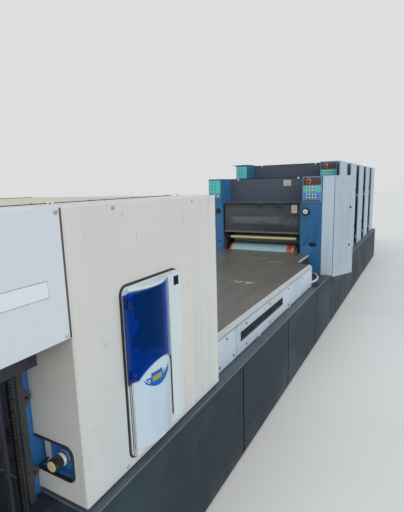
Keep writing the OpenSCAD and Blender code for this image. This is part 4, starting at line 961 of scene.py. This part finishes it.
bm = cut_out(bmesh.new(), rounded(-0.464, 0.464, 1.081, 1.368, 0.010, 4), "X", -1.174, -1.170)
piece("guard_pane", bm, smoked, "coater_guard")
bm = bmesh.new()
for y in (-0.227, 0.0):
    for shift in (-0.024, 0.024):
        turned(bm, [(0.0075, 0), (0.0075, 0.022)], (-1.178, y + shift, 1.378), DELIVERY, 14)
    cut_out(bm, rounded(y - 0.029, y + 0.029, 1.371, 1.385, 0.0065, 4), "X", -1.208, -1.199)
piece("guard_handles", bm, soft_black, "coater_guard", rounding=0.0015)
label_yellow = painted("label_yellow", (190, 184, 92), 0.5, (140, 128, 60), 0.6)
label = blocks((-1.1792, -1.1735, -0.441, -0.379, 1.303, 1.394))
piece("guard_label", label, paper, "coater_guard", rounding=0.0004)
label = cut_out(bmesh.new(), rounded(-0.428, -0.394, 1.322, 1.382, 0.008), "X", -1.1798, -1.1785)
piece("guard_label_field", label, label_yellow, "coater_guard")
chamber_steel = painted(
    "chamber_steel", (138, 142, 146), 0.35, (70, 68, 66), 0.8, 3e-5, 0.5, 0.3, 0.4, (170, 170, 168),
    metallic=0.4)
chamber = [(-1.075, 1.165), (-1.050, 1.150), (-0.990, 1.165), (-0.980, 1.225), (-1.010, 1.240),
           (-1.068, 1.226)]
bm = cut_out(bmesh.new(), chamber, "Y", -0.33, 0.31)
cut_out(bm, [(-1.060, 1.178), (-1.000, 1.170), (-1.000, 1.215), (-1.052, 1.210)], "Y", -0.499, 0.499)
turned(bm, [(0.012, 0), (0.012, 0.998)], (-1.06, -0.499, 1.322), (0, 1, 0), 18)
piece("ink_chamber", bm, chamber_steel, rounding=0.002)
bar_yellow = painted("bar_yellow", (232, 218, 164), 0.5, (180, 160, 108), 0.6, 5e-5, 0.5, 0.0)
bar_yellow.over(abs(bar_yellow.part("Y") + 0.008) > 0.420, (62, 64, 66))
blanket = painted("blanket_face", (158, 196, 202), 0.4, (120, 146, 146), 0.4, 2e-5, 0.3, 0.0)
across = blanket.part("Y")
worn_orange = blanket.cloud(30, 0.45, detail=3.0, shift=8.0)
for beyond in (across < -0.304, across > 0.412):
    blanket.over(beyond, (214, 92, 58))
    blanket.over(beyond * worn_orange * 0.4, (176, 84, 66))
blanket.over((across < -0.370) * blanket.cloud(60, 0.45, 0.5), (196, 190, 176))
blanket.over(abs(across - 0.024) > 0.418, (74, 74, 76))
roller_dark = painted("roller_dark", (118, 124, 130), 0.35, (34, 32, 30), 0.4, 1e-5, 0.3, 0.0)
roller_bright = painted("roller_bright", (150, 154, 158), 0.25, (90, 88, 84), 0.4, 1e-5, 0.3, 0.0,
                        metallic=0.7)
formed("coater_bars", bar_yellow)
coat(blanket, "blanket_cylinder")
coat(roller_dark, "form_roller")
coat(roller_bright, "metering_roller")

# SIDE DOORS: flat folded doors in light blue grey, each on two pins beside its column and
# closed with two round locks. The coater's stands ajar.
post_light = painted("post_light", (198, 216, 229), 0.48, (150, 158, 160), 0.6, 8e-5, 0.5, 0.45, 0.4,
                     (206, 214, 220))
formed("coater_post", post_light, 0.0015)
formed("coater_door", door_grey)
LOCK = [(0.0138, 0.0035), (0.0120, 0.0052), (0.0065, 0.0056), (0.0055, 0.0046), (0, 0.0046)]
DOOR_LOCK = [(0.0138, -0.0002)] + LOCK
COATER_HINGE, AJAR = Vector((-1.168, -0.827, 0)), Matrix.Rotation(math.radians(-26), 3, "Z")
for k in range(1, 6):
    formed(f"door_{k}", door_grey)
    bm = bmesh.new()
    for z in (0.950, 1.516):
        turned(bm, DOOR_LOCK, (UNIT_X[k] + 0.354, -0.778, z), OPERATOR, 24)
    piece(f"door_{k}_locks", bm, soft_black, f"door_{k}")
bm = bmesh.new()
for z in (0.925, 1.357):
    turned(bm, DOOR_LOCK, COATER_HINGE + AJAR @ Vector((0.300, -0.026, z)), AJAR @ Vector(OPERATOR), 24)
piece("coater_door_locks", bm, soft_black, "coater_door")
coat(black_paint, "door_hinges")
# On the drive side each unit is closed with a raised panel on two locks over a row of louvres.
bm = bmesh.new()
for x, z in zip(UNIT_X, UNIT_TOP):
    for outline in ((x + 0.020, x + 0.540, 0.640, 1.395), (x + 0.320, x + 0.540, 1.440, z - 0.030)):
        cut_out(bm, rounded(*outline, 0.012), "Y", 0.777, 0.7835)
slats = [((x + 0.28, 0.7835, 0.70 + 0.022 * k), (0, 1, 0), ALONG) for x in UNIT_X for k in range(9)]
locks = [((x + 0.50, 0.7835, z), (0, 1, 0), ALONG) for x in UNIT_X for z in (0.95, 1.33)]
piece("drive_panels", bm, door_grey, rounding=0.002)
slat = [(-0.13, -0.006), (0.13, -0.006), (0.13, -0.001), (0.125, 0.006), (-0.125, 0.006), (-0.13, -0.001)]
set_out("drive_louvres", mesh_of(cut_out(bmesh.new(), slat, "Z", -0.001, 0.0045)), slats, lid_dark)
set_out("drive_locks", turned_shape([(0.0138, 0)] + LOCK, 20), locks, soft_black)

# FEEDER: blue side frames, a sloping feed board with its belts, the suction head and the board
# for the paper pile on its lifting spindles.
BELT_START, BELT_SLOPE = (3.640, 0.988), 0.3312
board = painted("pile_wood", (126, 108, 82), 0.7, (84, 70, 52), 0.9, 2e-4, 1.0, 0.0)
board.over(board.cloud(14, 0.42, 0.6, (0.3, 6, 6), 4.0, 9.0) * 0.5, (98, 80, 56))
coat(machine_blue, "feeder_frames")
coat(dark_frame, "feeder_ties")
coat(roller_bright, "feed_board")
formed("suction_head", frame_grey, 0.003)
coat(board, "feeder_pile")
belt_grey = painted("belt_grey", (92, 96, 98), 0.7, (60, 60, 58), 0.6)
belts, wheels = bmesh.new(), bmesh.new()
for y in (-0.34, -0.12, 0.12, 0.34):
    belt = [(3.640, 0.9862), (3.640, 0.9880), (4.222, 1.1808), (4.222, 1.1790)]
    cut_out(belts, belt, "Y", y - 0.025, y + 0.025)
for x in (3.80, 4.00):
    z = BELT_START[1] + (x - BELT_START[0]) * BELT_SLOPE + 0.0225
    turned(wheels, [(0.008, 0), (0.008, 0.96)], (x, -0.48, z), (0, 1, 0), 14)
    for y in (-0.34, -0.12, 0.12, 0.34):
        turned(wheels, [(0.010, 0), (0.022, 0.001), (0.022, 0.019), (0.010, 0.020)], (x, y - 0.010, z),
               (0, 1, 0), 20)
piece("feed_belts", belts, belt_grey)
piece("hold_down_wheels", wheels, chamber_steel)

# FLOOR, LIGHT AND CAMERA: a plain pale floor under even studio light, seen from beside the
# delivery at eye height.
floor_mesh = bpy.data.meshes.new("floor")
floor_mesh.from_pydata([(-60, -60, 0), (60, -60, 0), (60, 60, 0), (-60, 60, 0)], [], [(0, 1, 2, 3)])
floor = bpy.data.objects.new("floor", floor_mesh)
bpy.context.scene.collection.objects.link(floor)
pale = Finish("floor", {})
pale.surface(pale.mix(pale.cloud(0.8, 0.3, 0.7), (0.70, 0.70, 0.695, 1), (0.74, 0.74, 0.735, 1)), 0.75)
floor_mesh.materials.append(pale.material)
world = bpy.data.worlds.new("studio")
bpy.context.scene.world = world
world.use_nodes = True
world.node_tree.nodes.clear()
studio = Nodes(world.node_tree)
seen = {kind: studio.node("ShaderNodeLightPath", out=f"Is {kind} Ray")
        for kind in ("Camera", "Glossy", "Transmission")}
mirrored = studio.node("ShaderNodeMath", {0: seen["Glossy"], 1: seen["Transmission"]}, operation="MAXIMUM")
shown = studio.node("ShaderNodeMath", {0: seen["Camera"], 1: mirrored}, operation="MAXIMUM")
ambient = studio.node("ShaderNodeBackground", {"Color": (0.93, 0.97, 1.0, 1), "Strength": 0.62})
backdrop = studio.node("ShaderNodeBackground", {"Color": (0.72, 0.73, 0.74, 1), "Strength": 1.0})
chosen = studio.node("ShaderNodeMixShader", {0: shown, 1: ambient, 2: backdrop})
studio.node("ShaderNodeOutputWorld", {"Surface": chosen})
for label, towards, strength, spread_angle, colour in (
        ("window_light", (0.35, 0.80, -0.55), 1.25, 50, (1.0, 0.98, 0.95)),
        ("roof_light", (0.30, -0.10, -0.95), 0.55, 90, (0.92, 0.96, 1.0))):
    lamp = bpy.data.lights.new(label, "SUN")
    lamp.energy, lamp.angle, lamp.color = strength, math.radians(spread_angle), colour
    light = bpy.data.objects.new(label, lamp)
    light.rotation_mode = "QUATERNION"
    light.rotation_quaternion = Vector(towards).to_track_quat("-Z", "Y")
    bpy.context.scene.collection.objects.link(light)
EYE, YAW, PITCH, ROLL = (-5.65, -1.6925,
                         1.65), math.radians(29.406), math.radians(10.273), math.radians(-1.625)
lens = bpy.data.cameras.new("camera")
lens.lens, lens.sensor_width, lens.clip_start, lens.clip_end = 27.49, 36, 0.05, 200
camera = bpy.data.objects.new("camera", lens)
look = Vector((math.cos(YAW) * math.cos(PITCH), math.sin(YAW) * math.cos(PITCH), -math.sin(PITCH)))
level = Vector((math.sin(YAW), -math.cos(YAW), 0))
above = level.cross(look)
right = level * math.cos(ROLL) + above * math.sin(ROLL)
top = above * math.cos(ROLL) - level * math.sin(ROLL)
camera.matrix_world = Matrix.Translation(EYE) @ Matrix((right, top, -look)).transposed().to_4x4()
bpy.context.scene.collection.objects.link(camera)
bpy.context.scene.camera = camera
bpy.context.scene.view_settings.view_transform = "Standard"
